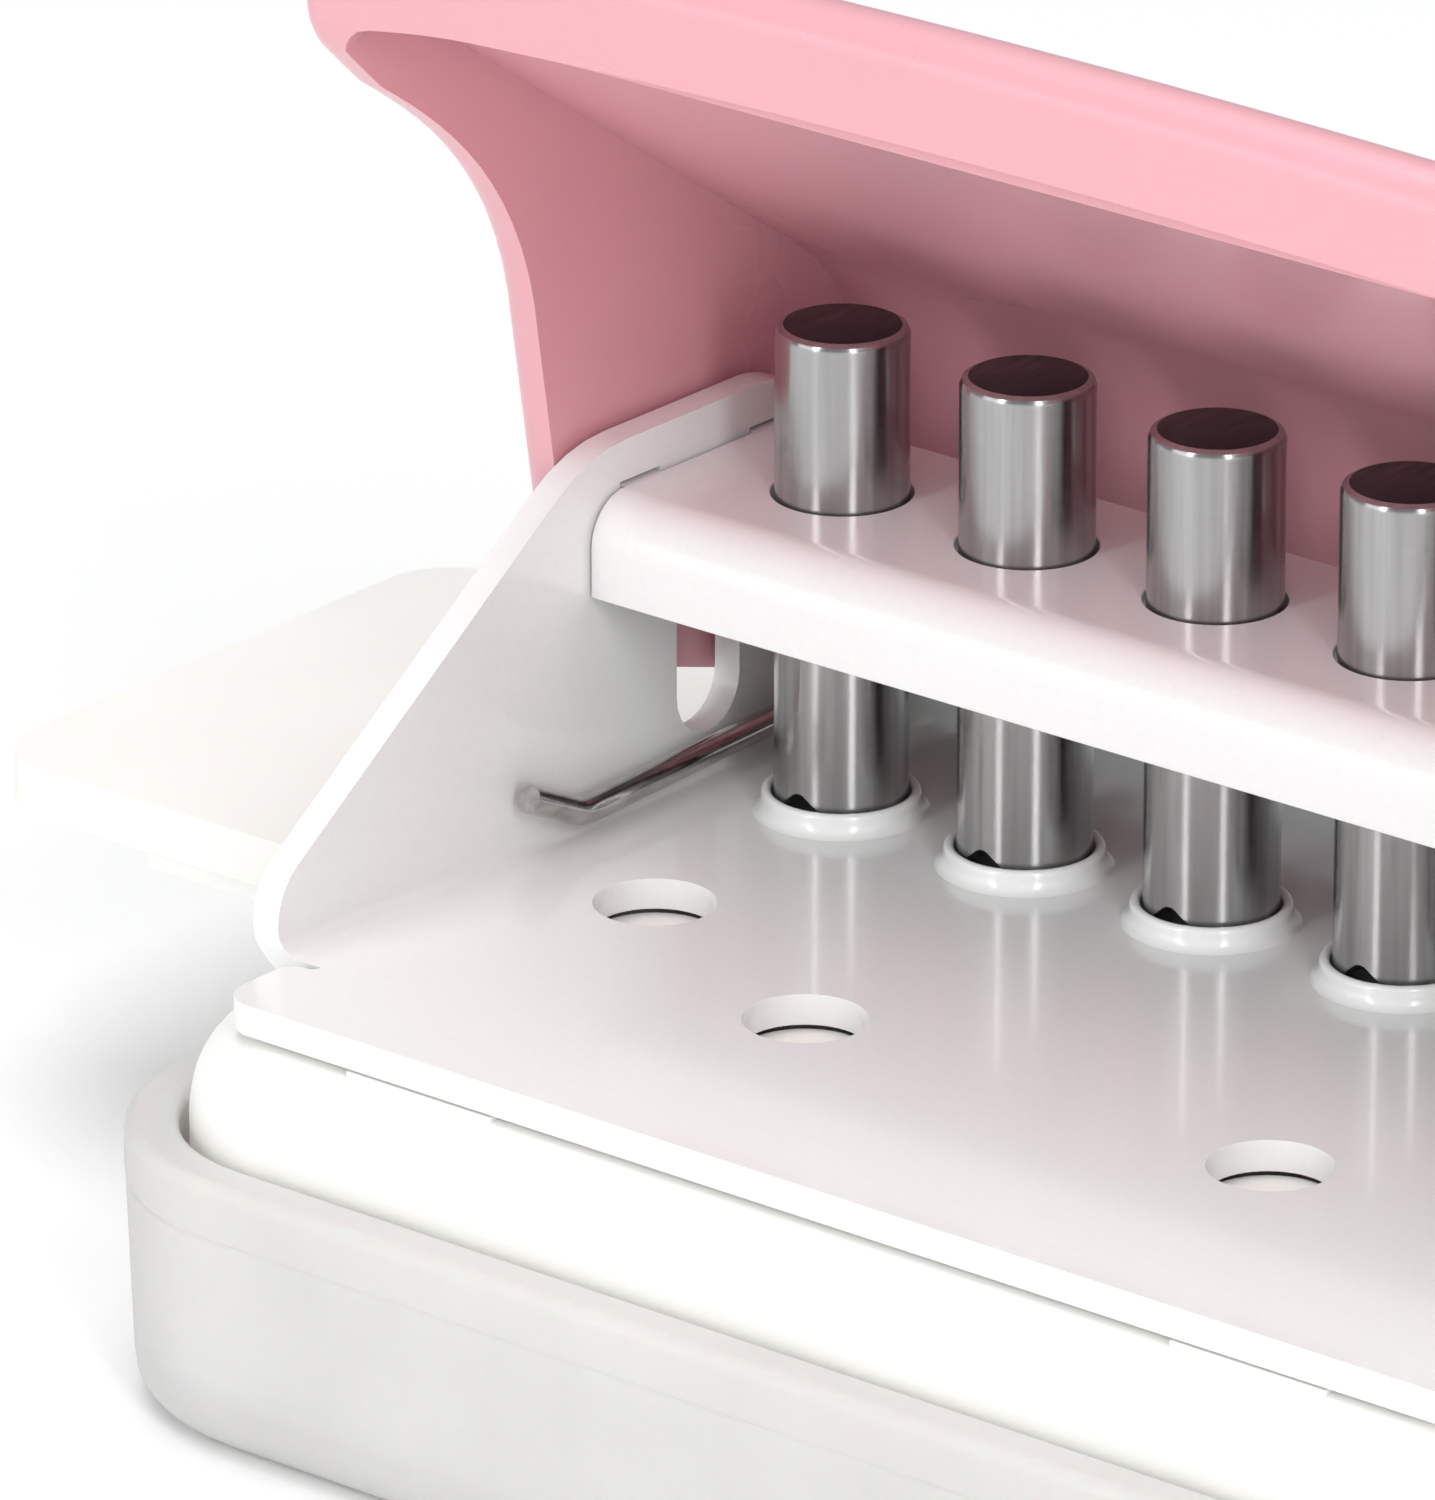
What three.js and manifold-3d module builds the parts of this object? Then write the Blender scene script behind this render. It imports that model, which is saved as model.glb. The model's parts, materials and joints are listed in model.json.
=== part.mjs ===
// A small loose-leaf paper punch: a row of steel pins in a coated sheet-metal frame, pressed by
// a wide hinged handle, standing on a moulded base with a pull-off tray for the paper chips.
//
// Millimetres, +Z up, +X along the row of pins, -Y the side where the handle is pressed.
// The origin is the centre of the tray's flat underside, level with the row of pins, which lies
// a little to the left of the middle.

import * as THREE from "three";
import { mergeVertices } from "three/addons/utils/BufferGeometryUtils.js";
import Module from "manifold-3d";

// ---- Driving dimensions ----

const PIN_COUNT = 6;
const PIN_PITCH = 9.5;
const ROW_SHIFT = -0.7;
const PIN_D = 5.5;
const PIN_ABOVE_PLATE = 20.9;
const PIN_TIP_RECESS = 0.3;
const PIN_CHAMFER = 0.4;
const PIN_NOTCH_DEPTH = 1.9;
const PIN_NOTCH_WIDTH = 4.6;
const PIN_FIT = 0.1;

const SHEET = 1.3;
const BEND_INSIDE_R = 1;
const EAR_MARGIN = 7.95;
const PLATE_FRONT = 31.1;
const TONGUE_IN = 0.9;
const TONGUE_CORNER_R = 1.6;
const EAR_FRONT = 26.4;
const EAR_HEIGHT = 15.65;
const EAR_TOP_FRONT = 5.2;
const EAR_TOP_REAR = 3;
const EAR_BOSS_R = 4.2;
const COLLAR_WALL = 0.4;
const COLLAR_H = 0.95;
const LOCATING_HOLE_D = 5;
const PEG_D = 5.4;
const STUD_D = 3;
const STUD_BELOW_DECK = 2.6;
const NUT_CORNER_R = 3.15;
const NUT_H = 2.4;

const BAR_TOP = 13.75;
const BAR_SHEET = 1.2;
const BAR_FRONT = 7.3;
const BAR_REAR = 5.9;
const BAR_LIP = 4.2;
const BAR_BEND_R = 2.1;

const ROD_D = 2.2;
const ROD_ABOVE_PLATE = 11.2;
const ROD_SLOT_W = 4;

const PIVOT_Y = 11.5;
const PIVOT_ABOVE_PLATE = 4.8;
const AXLE_D = 4.8;
const CLIP_T = 0.5;
const CLIP_RIM = 1.3;
const GROOVE_DEPTH = 0.5;
const AXLE_END = 0.4;

const WIRE_D = 1.15;
const COIL_CLEARANCE = 0.22;
const COIL_TURNS = 7;
const LEG_REACH = 20.6;
const LEG_TIP_RISE = 1.6;
const LEG_TIP_REACH = 3.3;
const ARM_OVERHANG = 2.4;

const HANDLE_GAP = 0.5;
const CHEEK_T = 2.2;
const HANDLE_WALL = 2.6;
const HANDLE_EDGE_R = 0.8;
const CEILING_ANGLE = 34;
const CEILING_OVER_PINS = 3.25;
const CEILING_REAR_R = 9;
const LIP_FRONT = 20.4;
const LIP_HEIGHT = 5.9;
const LIP_DROP = 2;
const LIP_T = 1.2;
const HANDLE_SWING = 25;
const PIN_STROKE = 3.88;

const SLOT_HEIGHT = 0.9;
const STOP_DEPTH = 6;
const DIE_T = 1.5;
const DIE_REAR = 13;
const DIE_SIDE_MARGIN = 1;

const BASE_OVERHANG = 2.1;
const BASE_SIDE = 2.65;
const BASE_REAR = 20;
const BASE_CORNER_R = 7;
const BASE_WALL = 2.2;
const BASE_DECK = 3;
const BASE_SHOULDER_IN = 2.8;
const BASE_SHOULDER_DOWN = 3.9;
const BASE_SKIRT = 3.4;

const TRAY_HEIGHT = 11.9;
const TRAY_WALL = 2.2;
const TRAY_FLOOR = 1.8;
const TRAY_LEDGE = 1.2;
const TRAY_EDGE_R = 2;
const TRAY_GAP = 0.4;
const TRAY_RIM_BELOW_PLATE = 5.6;

const GUIDE_REACH = 25;
const GUIDE_FRONT = 13.2;
const GUIDE_REAR = 16.2;
const GUIDE_T = 2.2;
const GUIDE_CORNER_R = 3.4;
const RAIL_W = 4.6;
const RAIL_T = 1.35;
const RAIL_INSIDE = 18;
const RAIL_OFFSET = 8.4;
const RAIL_OVERLAP = 16;
const CHUTE_END = 4.5;
const CHUTE_W = 10;

const FIT = 0.15;
const SEAM = 0.25;
const TOUCH = 0.05;

// ---- Places worked out from them ----

const PLATE_Z = TRAY_HEIGHT + TRAY_RIM_BELOW_PLATE;
const PLATE_UNDER_Z = PLATE_Z - SHEET;
const DIE_TOP_Z = PLATE_UNDER_Z - SLOT_HEIGHT;
const DIE_UNDER_Z = DIE_TOP_Z - DIE_T;
const DECK_Z = DIE_UNDER_Z - TOUCH;
const DECK_UNDER_Z = DECK_Z - BASE_DECK;
const BASE_TOP_Z = PLATE_UNDER_Z - SEAM;
const BASE_BOTTOM_Z = TRAY_HEIGHT - BASE_SKIRT;

const ROW_HALF = ((PIN_COUNT - 1) * PIN_PITCH) / 2;
const EAR_IN = ROW_HALF + EAR_MARGIN;
const EAR_OUT = EAR_IN + SHEET;
const CHEEK_IN = EAR_OUT + HANDLE_GAP;
const CHEEK_OUT = CHEEK_IN + CHEEK_T;
const PLATE_TONGUE = EAR_IN - TONGUE_IN;
const BASE_HALF = EAR_IN + BASE_SIDE;
const BASE_FRONT = PLATE_FRONT + BASE_OVERHANG;
const TRAY_HALF = BASE_HALF + TRAY_GAP + TRAY_WALL;
const TRAY_FRONT = BASE_FRONT + TRAY_GAP + TRAY_WALL;
const TRAY_REAR = BASE_REAR + TRAY_GAP + TRAY_WALL;
const DIE_HALF = EAR_IN - DIE_SIDE_MARGIN;
const DIE_FRONT = PLATE_FRONT - DIE_SIDE_MARGIN - BEND_INSIDE_R;

const COIL_R = AXLE_D / 2 + COIL_CLEARANCE + WIRE_D / 2;

const PIN_R = PIN_D / 2;
const PIN_HOLE_R = PIN_R + PIN_FIT;
const PIN_TOP_Z = PLATE_Z + PIN_ABOVE_PLATE;
const PIN_TIP_Z = PLATE_Z - PIN_TIP_RECESS;
const ROD_Z = PLATE_Z + ROD_ABOVE_PLATE;
const PIVOT_Z = PLATE_Z + PIVOT_ABOVE_PLATE;
const SWING = THREE.MathUtils.degToRad(HANDLE_SWING);

const SIDES = [
  ["left", -1],
  ["right", 1],
];
// Each as its distance from the middle, on both sides, and its place from front to rear.
const LOCATING_HOLES = [
  [EAR_IN - 7.9, -12.6],
  [EAR_IN - 20.2, -18.15],
];
const STUDS = [
  [EAR_IN - 4, -(PLATE_FRONT - 4.6)],
  [EAR_IN - 19.8, -8.8],
];

// ---- Solids ----

const wasm = await Module();
wasm.setup();

// A closed geometry as a solid that can be joined and cut.
function solid(geometry) {
  const bare = geometry.clone();
  bare.deleteAttribute("normal");
  bare.deleteAttribute("uv");
  const merged = mergeVertices(bare, 1e-4);
  const corners = merged.index.array;
  const kept = [];
  for (let i = 0; i < corners.length; i += 3) {
    const [a, b, c] = [corners[i], corners[i + 1], corners[i + 2]];
    if (a !== b && b !== c && c !== a) kept.push(a, b, c);
  }
  return new wasm.Manifold(
    new wasm.Mesh({
      numProp: 3,
      vertProperties: merged.attributes.position.array,
      triVerts: new Uint32Array(kept),
    }),
  );
}

function join(...solids) {
  return solids.reduce((whole, piece) => whole.add(piece));
}

function cut(body, ...tools) {
  return tools.reduce((left, tool) => left.subtract(tool), body);
}

function geometryOf(body) {
  const { vertProperties, triVerts, numProp } = body.getMesh();
  const count = vertProperties.length / numProp;
  const places = new Float32Array(count * 3);
  for (let i = 0; i < count; i++) {
    places.set(vertProperties.subarray(i * numProp, i * numProp + 3), i * 3);
  }
  return new THREE.BufferGeometry()
    .setAttribute("position", new THREE.BufferAttribute(places, 3))
    .setIndex(new THREE.BufferAttribute(new Uint32Array(triVerts), 1));
}

function box(x0, x1, y0, y1, z0, z1) {
  const block = new THREE.BoxGeometry(x1 - x0, y1 - y0, z1 - z0);
  return solid(block.translate((x0 + x1) / 2, (y0 + y1) / 2, (z0 + z1) / 2));
}

// A round bar along X, Y or Z from one coordinate to the other, centred on the other two.
function roundBar(axis, radius, from, to, a, b, sides = 24) {
  const bar = new THREE.CylinderGeometry(radius, radius, to - from, sides);
  const middle = (from + to) / 2;
  if (axis === "x") bar.rotateZ(-Math.PI / 2).translate(middle, a, b);
  if (axis === "y") bar.translate(a, middle, b);
  if (axis === "z") bar.rotateX(Math.PI / 2).translate(a, b, middle);
  return solid(bar);
}

// An outline in X and Y, raised from one height to another.
function raised(outline, z0, z1, curveSegments = 8) {
  const options = { depth: z1 - z0, bevelEnabled: false, curveSegments };
  return solid(new THREE.ExtrudeGeometry(outline, options).translate(0, 0, z0));
}

// An outline in Y and Z, carried along X.
const ALONG_X = new THREE.Matrix4().makeBasis(
  new THREE.Vector3(0, 1, 0),
  new THREE.Vector3(0, 0, 1),
  new THREE.Vector3(1, 0, 0),
);
function carried(outline, x0, x1, options = {}) {
  const settings = { depth: x1 - x0, bevelEnabled: false, curveSegments: 8, ...options };
  const strip = new THREE.ExtrudeGeometry(outline, settings);
  return solid(strip.applyMatrix4(ALONG_X).translate(x0, 0, 0));
}

// A rectangle in plan with its four corners rounded.
function roundedPlan(x0, x1, y0, y1, radius) {
  const plan = new THREE.Shape();
  plan.moveTo(x0 + radius, y0);
  plan.lineTo(x1 - radius, y0);
  plan.absarc(x1 - radius, y0 + radius, radius, -Math.PI / 2, 0, false);
  plan.lineTo(x1, y1 - radius);
  plan.absarc(x1 - radius, y1 - radius, radius, 0, Math.PI / 2, false);
  plan.lineTo(x0 + radius, y1);
  plan.absarc(x0 + radius, y1 - radius, radius, Math.PI / 2, Math.PI, false);
  plan.lineTo(x0, y0 + radius);
  plan.absarc(x0 + radius, y0 + radius, radius, Math.PI, 1.5 * Math.PI, false);
  return plan;
}

// A long hole's outline between two centres.
function oblong(ax, ay, bx, by, radius) {
  const along = Math.atan2(by - ay, bx - ax);
  const outline = new THREE.Shape();
  outline.absarc(bx, by, radius, along - Math.PI / 2, along + Math.PI / 2, false);
  outline.absarc(ax, ay, radius, along + Math.PI / 2, along + 1.5 * Math.PI, false);
  return outline;
}

function pinX(index) {
  return ROW_SHIFT + (index - (PIN_COUNT - 1) / 2) * PIN_PITCH;
}

function eachPin(make) {
  return Array.from({ length: PIN_COUNT }, (_, index) => make(pinX(index), index));
}

function bothSides(make) {
  return SIDES.map(([, side]) => make(side));
}

// ---- Sheet-metal frame ----

// The bent sheet seen along Y: floor, two bends and two upright ears.
function frameSection() {
  const outer = BEND_INSIDE_R + SHEET;
  const bendX = EAR_IN - BEND_INSIDE_R;
  const bendZ = PLATE_Z + BEND_INSIDE_R;
  const top = PLATE_Z + EAR_HEIGHT + 2;
  const section = new THREE.Shape();
  section.moveTo(-EAR_OUT + outer, PLATE_UNDER_Z);
  section.lineTo(EAR_OUT - outer, PLATE_UNDER_Z);
  section.absarc(EAR_OUT - outer, PLATE_UNDER_Z + outer, outer, -Math.PI / 2, 0, false);
  section.lineTo(EAR_OUT, top);
  section.lineTo(EAR_IN, top);
  section.lineTo(EAR_IN, PLATE_Z + BEND_INSIDE_R);
  section.absarc(bendX, bendZ, BEND_INSIDE_R, 0, -Math.PI / 2, true);
  section.lineTo(-EAR_IN + BEND_INSIDE_R, PLATE_Z);
  section.absarc(-bendX, bendZ, BEND_INSIDE_R, -Math.PI / 2, -Math.PI, true);
  section.lineTo(-EAR_IN, top);
  section.lineTo(-EAR_OUT, top);
  section.lineTo(-EAR_OUT, PLATE_UNDER_Z + outer);
  section.absarc(-EAR_OUT + outer, PLATE_UNDER_Z + outer, outer, Math.PI, 1.5 * Math.PI, false);
  return section;
}

// The ears seen along X: the round boss at the pivot, the level top, the slope and the nose.
function earOutline() {
  const top = PLATE_Z + EAR_HEIGHT;
  const below = PLATE_UNDER_Z - 1;
  const nose = -EAR_FRONT;
  const bossStart = THREE.MathUtils.degToRad(125);
  const outline = new THREE.Shape();
  outline.moveTo(nose + 0.8, below);
  outline.lineTo(PIVOT_Y + EAR_BOSS_R, below);
  outline.lineTo(PIVOT_Y + EAR_BOSS_R, PIVOT_Z);
  outline.absarc(PIVOT_Y, PIVOT_Z, EAR_BOSS_R, 0, bossStart, false);
  outline.lineTo(EAR_TOP_REAR + 3.4, top - 1.4);
  outline.quadraticCurveTo(EAR_TOP_REAR + 2, top, EAR_TOP_REAR, top);
  outline.lineTo(-EAR_TOP_FRONT, top);
  outline.quadraticCurveTo(-EAR_TOP_FRONT - 2.1, top, -EAR_TOP_FRONT - 4.1, top - 1.4);
  outline.lineTo(nose + 2.7, PLATE_Z + 4.5);
  outline.quadraticCurveTo(nose, PLATE_Z + 2.6, nose, PLATE_Z + 0.9);
  outline.quadraticCurveTo(nose, PLATE_Z - 0.6, nose + 0.8, below);
  return outline;
}

function uFrame() {
  const sheet = new THREE.ExtrudeGeometry(frameSection(), {
    depth: 3 * PLATE_FRONT,
    bevelEnabled: false,
    curveSegments: 5,
  });
  sheet.rotateX(Math.PI / 2).translate(0, 1.5 * PLATE_FRONT, 0);
  const ears = carried(earOutline(), -EAR_OUT - 1, EAR_OUT + 1);
  const tongueRear = -EAR_FRONT + 2;
  const tonguePlan = roundedPlan(
    -PLATE_TONGUE,
    PLATE_TONGUE,
    -PLATE_FRONT,
    tongueRear,
    TONGUE_CORNER_R,
  );
  const bent = solid(sheet).intersect(ears);
  const collars = eachPin((x) =>
    roundBar("z", PIN_HOLE_R + COLLAR_WALL, PLATE_UNDER_Z, PLATE_Z + COLLAR_H, x, 0),
  );
  const studs = STUDS.flatMap(([x, y]) =>
    bothSides((side) =>
      roundBar("z", STUD_D / 2, DECK_UNDER_Z - STUD_BELOW_DECK, PLATE_UNDER_Z + 0.4, side * x, y, 16),
    ),
  );
  const pinHoles = eachPin((x) =>
    roundBar("z", PIN_HOLE_R, PLATE_UNDER_Z - 1, PLATE_Z + COLLAR_H + 1, x, 0),
  );
  const locatingHoles = LOCATING_HOLES.flatMap(([x, y]) =>
    bothSides((side) =>
      roundBar("z", LOCATING_HOLE_D / 2, PLATE_UNDER_Z - 1, PLATE_Z + 1, side * x, y),
    ),
  );
  const slotR = ROD_SLOT_W / 2;
  const slotTop = ROD_Z + ROD_D / 2 + 0.6 - slotR;
  const rodSlot = oblong(0.3, slotTop, 0.3, PLATE_Z + 1.5 + slotR, slotR);
  const whole = join(bent, raised(tonguePlan, PLATE_UNDER_Z, PLATE_Z), ...collars, ...studs);
  return cut(
    whole,
    ...pinHoles,
    ...locatingHoles,
    carried(rodSlot, -EAR_OUT - 1, EAR_OUT + 1),
    roundBar("x", AXLE_D / 2 + FIT, -EAR_OUT - 1, EAR_OUT + 1, PIVOT_Y, PIVOT_Z),
    ...tenons(FIT, 1),
  );
}

// ---- Guide bar ----

const TENONS = [
  [-5.1, -2.9],
  [3.1, 5.1],
];

// The bar's tenons, or the windows for them when they are given a clearance.
function tenons(clearance, extra) {
  const z1 = PLATE_Z + BAR_TOP + clearance;
  const z0 = PLATE_Z + BAR_TOP - BAR_SHEET - clearance;
  const reach = EAR_OUT - 0.1 + extra;
  return TENONS.flatMap(([y0, y1]) => [
    box(EAR_IN - 2, reach, y0 - clearance, y1 + clearance, z0, z1),
    box(-reach, -EAR_IN + 2, y0 - clearance, y1 + clearance, z0, z1),
  ]);
}

function guideBar() {
  const top = PLATE_Z + BAR_TOP;
  const inner = BAR_BEND_R - BAR_SHEET;
  const bendY = -BAR_FRONT + BAR_BEND_R;
  const section = new THREE.Shape();
  section.moveTo(BAR_REAR, top);
  section.lineTo(bendY, top);
  section.absarc(bendY, top - BAR_BEND_R, BAR_BEND_R, Math.PI / 2, Math.PI, false);
  section.lineTo(-BAR_FRONT, top - BAR_LIP);
  section.lineTo(-BAR_FRONT + BAR_SHEET, top - BAR_LIP);
  section.lineTo(-BAR_FRONT + BAR_SHEET, top - BAR_BEND_R);
  section.absarc(bendY, top - BAR_BEND_R, inner, Math.PI, Math.PI / 2, true);
  section.lineTo(BAR_REAR, top - BAR_SHEET);
  const strip = carried(section, -EAR_IN + FIT, EAR_IN - FIT);
  const holes = eachPin((x) => roundBar("z", PIN_HOLE_R + 0.05, top - 3, top + 1, x, 0));
  return cut(join(strip, ...tenons(0, 0)), ...holes);
}

// ---- Pins and lift rod ----

function punchPin(x) {
  const profile = [
    [0, PIN_TIP_Z],
    [PIN_R, PIN_TIP_Z],
    [PIN_R, PIN_TOP_Z - PIN_CHAMFER],
    [PIN_R - PIN_CHAMFER, PIN_TOP_Z],
    [0, PIN_TOP_Z],
  ].map(([r, z]) => new THREE.Vector2(r, z));
  const shank = new THREE.LatheGeometry(profile, 24).rotateX(Math.PI / 2);
  shank.translate(x, 0, 0);
  const half = PIN_NOTCH_WIDTH / 2;
  const notch = new THREE.Shape();
  notch.moveTo(-half - 0.7, PIN_TIP_Z - 0.6);
  notch.lineTo(half + 0.7, PIN_TIP_Z - 0.6);
  notch.lineTo(0.45, PIN_TIP_Z + PIN_NOTCH_DEPTH - 0.25);
  notch.quadraticCurveTo(0, PIN_TIP_Z + PIN_NOTCH_DEPTH + 0.2, -0.45, PIN_TIP_Z + PIN_NOTCH_DEPTH - 0.25);
  const groove = new THREE.ExtrudeGeometry(notch, { depth: PIN_D + 2, bevelEnabled: false, curveSegments: 4 });
  groove.rotateX(Math.PI / 2).translate(x, PIN_R + 1, 0);
  const crossHole = roundBar("x", ROD_D / 2 + FIT, x - PIN_D, x + PIN_D, 0, ROD_Z, 16);
  return cut(solid(shank), solid(groove), crossHole);
}

const ROD_HALF = CHEEK_IN + CHEEK_T / 2;

function liftRod() {
  return roundBar("x", ROD_D / 2, -ROD_HALF, ROD_HALF, 0, ROD_Z, 16);
}

// ---- Handle ----

// The ceiling is a straight slope that turns down over a round corner into the rear wall.
const SLOPE = THREE.MathUtils.degToRad(CEILING_ANGLE);
const REAR_WALL_Y = PIVOT_Y + 0.77;
const REAR_WALL_END_Z = PIVOT_Z + EAR_BOSS_R + 0.4;
const TURN_Y = REAR_WALL_Y - CEILING_REAR_R;
const CEILING_AT_ROW_Z = PIN_TOP_Z + CEILING_OVER_PINS + (PIN_D / 2) * Math.tan(SLOPE) - 0.5;
const TURN_Z = CEILING_AT_ROW_Z - CEILING_REAR_R / Math.cos(SLOPE) - TURN_Y * Math.tan(SLOPE);

function ceilingZ(y) {
  return CEILING_AT_ROW_Z - y * Math.tan(SLOPE);
}

// The handle seen along X.
function handleOutline() {
  const outerR = CEILING_REAR_R + HANDLE_WALL;
  const turnStart = Math.PI / 2 - SLOPE;
  const lipZ = ceilingZ(-LIP_FRONT) - LIP_DROP;
  const lipTop = lipZ + LIP_HEIGHT;
  const front = -LIP_FRONT;
  const bottomAngle = THREE.MathUtils.degToRad(-106.7);
  const outline = new THREE.Shape();
  outline.moveTo(front, lipZ + 0.4);
  outline.quadraticCurveTo(front + 0.6, lipZ - 2.2, front + 2.9, lipZ - 3.8);
  outline.bezierCurveTo(front + 7.2, lipZ - 6.7, -8.3, lipZ - 10.2, -7.5, lipZ - 16.8);
  outline.lineTo(-6.1, PLATE_Z + 11.5);
  outline.quadraticCurveTo(-5.2, PLATE_Z + 5.4, 0.5, PLATE_Z + 3.7);
  outline.absarc(PIVOT_Y, PIVOT_Z, EAR_BOSS_R, bottomAngle, 0, false);
  outline.lineTo(TURN_Y + outerR, TURN_Z);
  outline.absarc(TURN_Y, TURN_Z, outerR, 0, turnStart, false);
  outline.lineTo(front + 1.4, lipTop);
  outline.quadraticCurveTo(front - 0.1, lipTop + 0.3, front - 0.2, lipTop - 1.1);
  return outline;
}

// What is hollow between the two cheeks, open downwards and to the front.
function handleHollow() {
  const lipZ = ceilingZ(-LIP_FRONT) - LIP_DROP;
  const inside = -LIP_FRONT + LIP_T;
  const turnStart = Math.PI / 2 - SLOPE;
  const outline = new THREE.Shape();
  outline.moveTo(-2 * LIP_FRONT, lipZ);
  outline.lineTo(-2 * LIP_FRONT, PLATE_UNDER_Z - 20);
  outline.lineTo(2 * BASE_REAR, PLATE_UNDER_Z - 20);
  outline.lineTo(2 * BASE_REAR, REAR_WALL_END_Z);
  outline.lineTo(REAR_WALL_Y, REAR_WALL_END_Z);
  outline.lineTo(REAR_WALL_Y, TURN_Z);
  outline.absarc(TURN_Y, TURN_Z, CEILING_REAR_R, 0, turnStart, false);
  outline.lineTo(inside, ceilingZ(inside));
  outline.lineTo(inside, lipZ);
  return outline;
}

// Where the lift rod's centre lies in the raised handle's frame when the handle has turned.
function rodInHandle(turn) {
  const y = -PIVOT_Y;
  const z = ROD_Z - (PIN_STROKE * turn) / SWING - PIVOT_Z;
  return [
    PIVOT_Y + y * Math.cos(turn) + z * Math.sin(turn),
    PIVOT_Z - y * Math.sin(turn) + z * Math.cos(turn),
  ];
}

function handle() {
  const bevel = {
    bevelEnabled: true,
    bevelThickness: HANDLE_EDGE_R,
    bevelSize: HANDLE_EDGE_R,
    bevelOffset: -HANDLE_EDGE_R,
    bevelSegments: 3,
    curveSegments: 7,
  };
  const edge = CHEEK_OUT - HANDLE_EDGE_R;
  const shell = carried(handleOutline(), -edge, edge, bevel);
  const hollow = carried(handleHollow(), -CHEEK_IN, CHEEK_IN);
  const pocketOutline = oblong(...rodInHandle(0), ...rodInHandle(SWING), ROD_D / 2 + 2 * FIT);
  const pocketEnd = ROD_HALF + 2 * FIT;
  return cut(
    shell,
    hollow,
    carried(pocketOutline, -pocketEnd, pocketEnd),
    roundBar("x", AXLE_D / 2 + FIT, -CHEEK_OUT - 1, CHEEK_OUT + 1, PIVOT_Y, PIVOT_Z),
  );
}

// ---- Pivot axle and its clips ----

const CLIP_FACE = CHEEK_OUT + FIT;
const GROOVE_R = AXLE_D / 2 - GROOVE_DEPTH;

function pivotAxle() {
  const end = CLIP_FACE + CLIP_T + AXLE_END;
  const bar = roundBar("x", AXLE_D / 2, -end, end, PIVOT_Y, PIVOT_Z);
  const grooves = bothSides((side) => {
    const near = side * (CLIP_FACE - TOUCH);
    const far = side * (CLIP_FACE + CLIP_T + TOUCH);
    const [a, b] = [Math.min(near, far), Math.max(near, far)];
    const ring = roundBar("x", AXLE_D, a, b, PIVOT_Y, PIVOT_Z);
    return ring.subtract(roundBar("x", GROOVE_R, a - 1, b + 1, PIVOT_Y, PIVOT_Z));
  });
  return cut(bar, ...grooves);
}

// A snap ring with an open mouth that points down.
function axleClip(side) {
  const inner = GROOVE_R + 0.1;
  const outer = AXLE_D / 2 + CLIP_RIM;
  const mouth = 0.55;
  const ring = new THREE.Shape();
  ring.absarc(PIVOT_Y, PIVOT_Z, outer, -Math.PI / 2 + mouth, 1.5 * Math.PI - mouth, false);
  ring.absarc(PIVOT_Y, PIVOT_Z, inner, 1.5 * Math.PI - mouth, -Math.PI / 2 + mouth, true);
  const near = side * CLIP_FACE;
  const far = side * (CLIP_FACE + CLIP_T);
  return carried(ring, Math.min(near, far), Math.max(near, far), { curveSegments: 9 });
}

// ---- Return springs ----

// A wire of round section along a smooth curve through the points.
function wire(points, steps) {
  const section = new THREE.Shape();
  section.absarc(0, 0, WIRE_D / 2, 0, 2 * Math.PI, false);
  const route = new THREE.CatmullRomCurve3(points, false, "centripetal");
  return solid(new THREE.ExtrudeGeometry(section, { extrudePath: route, steps, curveSegments: 4 }));
}

// Each coil winds round the axle from the ear inwards. Its leg lies on the plate and its arm
// reaches forward under the lift rod, through the gap between the two outermost pins.
const LEG_X = EAR_IN - 1.05;
const ARM_FROM_ROW = ROW_HALF - PIN_PITCH / 2;
const ARM_START = -Math.PI / 6;
const LEG_ANGLE = Math.asin((PIVOT_ABOVE_PLATE - 1) / LEG_REACH) - Math.asin(COIL_R / LEG_REACH);
const ARM_DROP = ROD_Z - ROD_D / 2 - WIRE_D / 2 - 2 * FIT - PIVOT_Z;
const ARM_SPAN = Math.hypot(PIVOT_Y, ARM_DROP);
const ARM_ANGLE = Math.asin(ARM_DROP / ARM_SPAN) - Math.asin(COIL_R / ARM_SPAN);

function armX(side) {
  return ROW_SHIFT + side * ARM_FROM_ROW;
}

function aroundPivot(x, angle) {
  return new THREE.Vector3(x, PIVOT_Y + COIL_R * Math.cos(angle), PIVOT_Z + COIL_R * Math.sin(angle));
}

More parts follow.
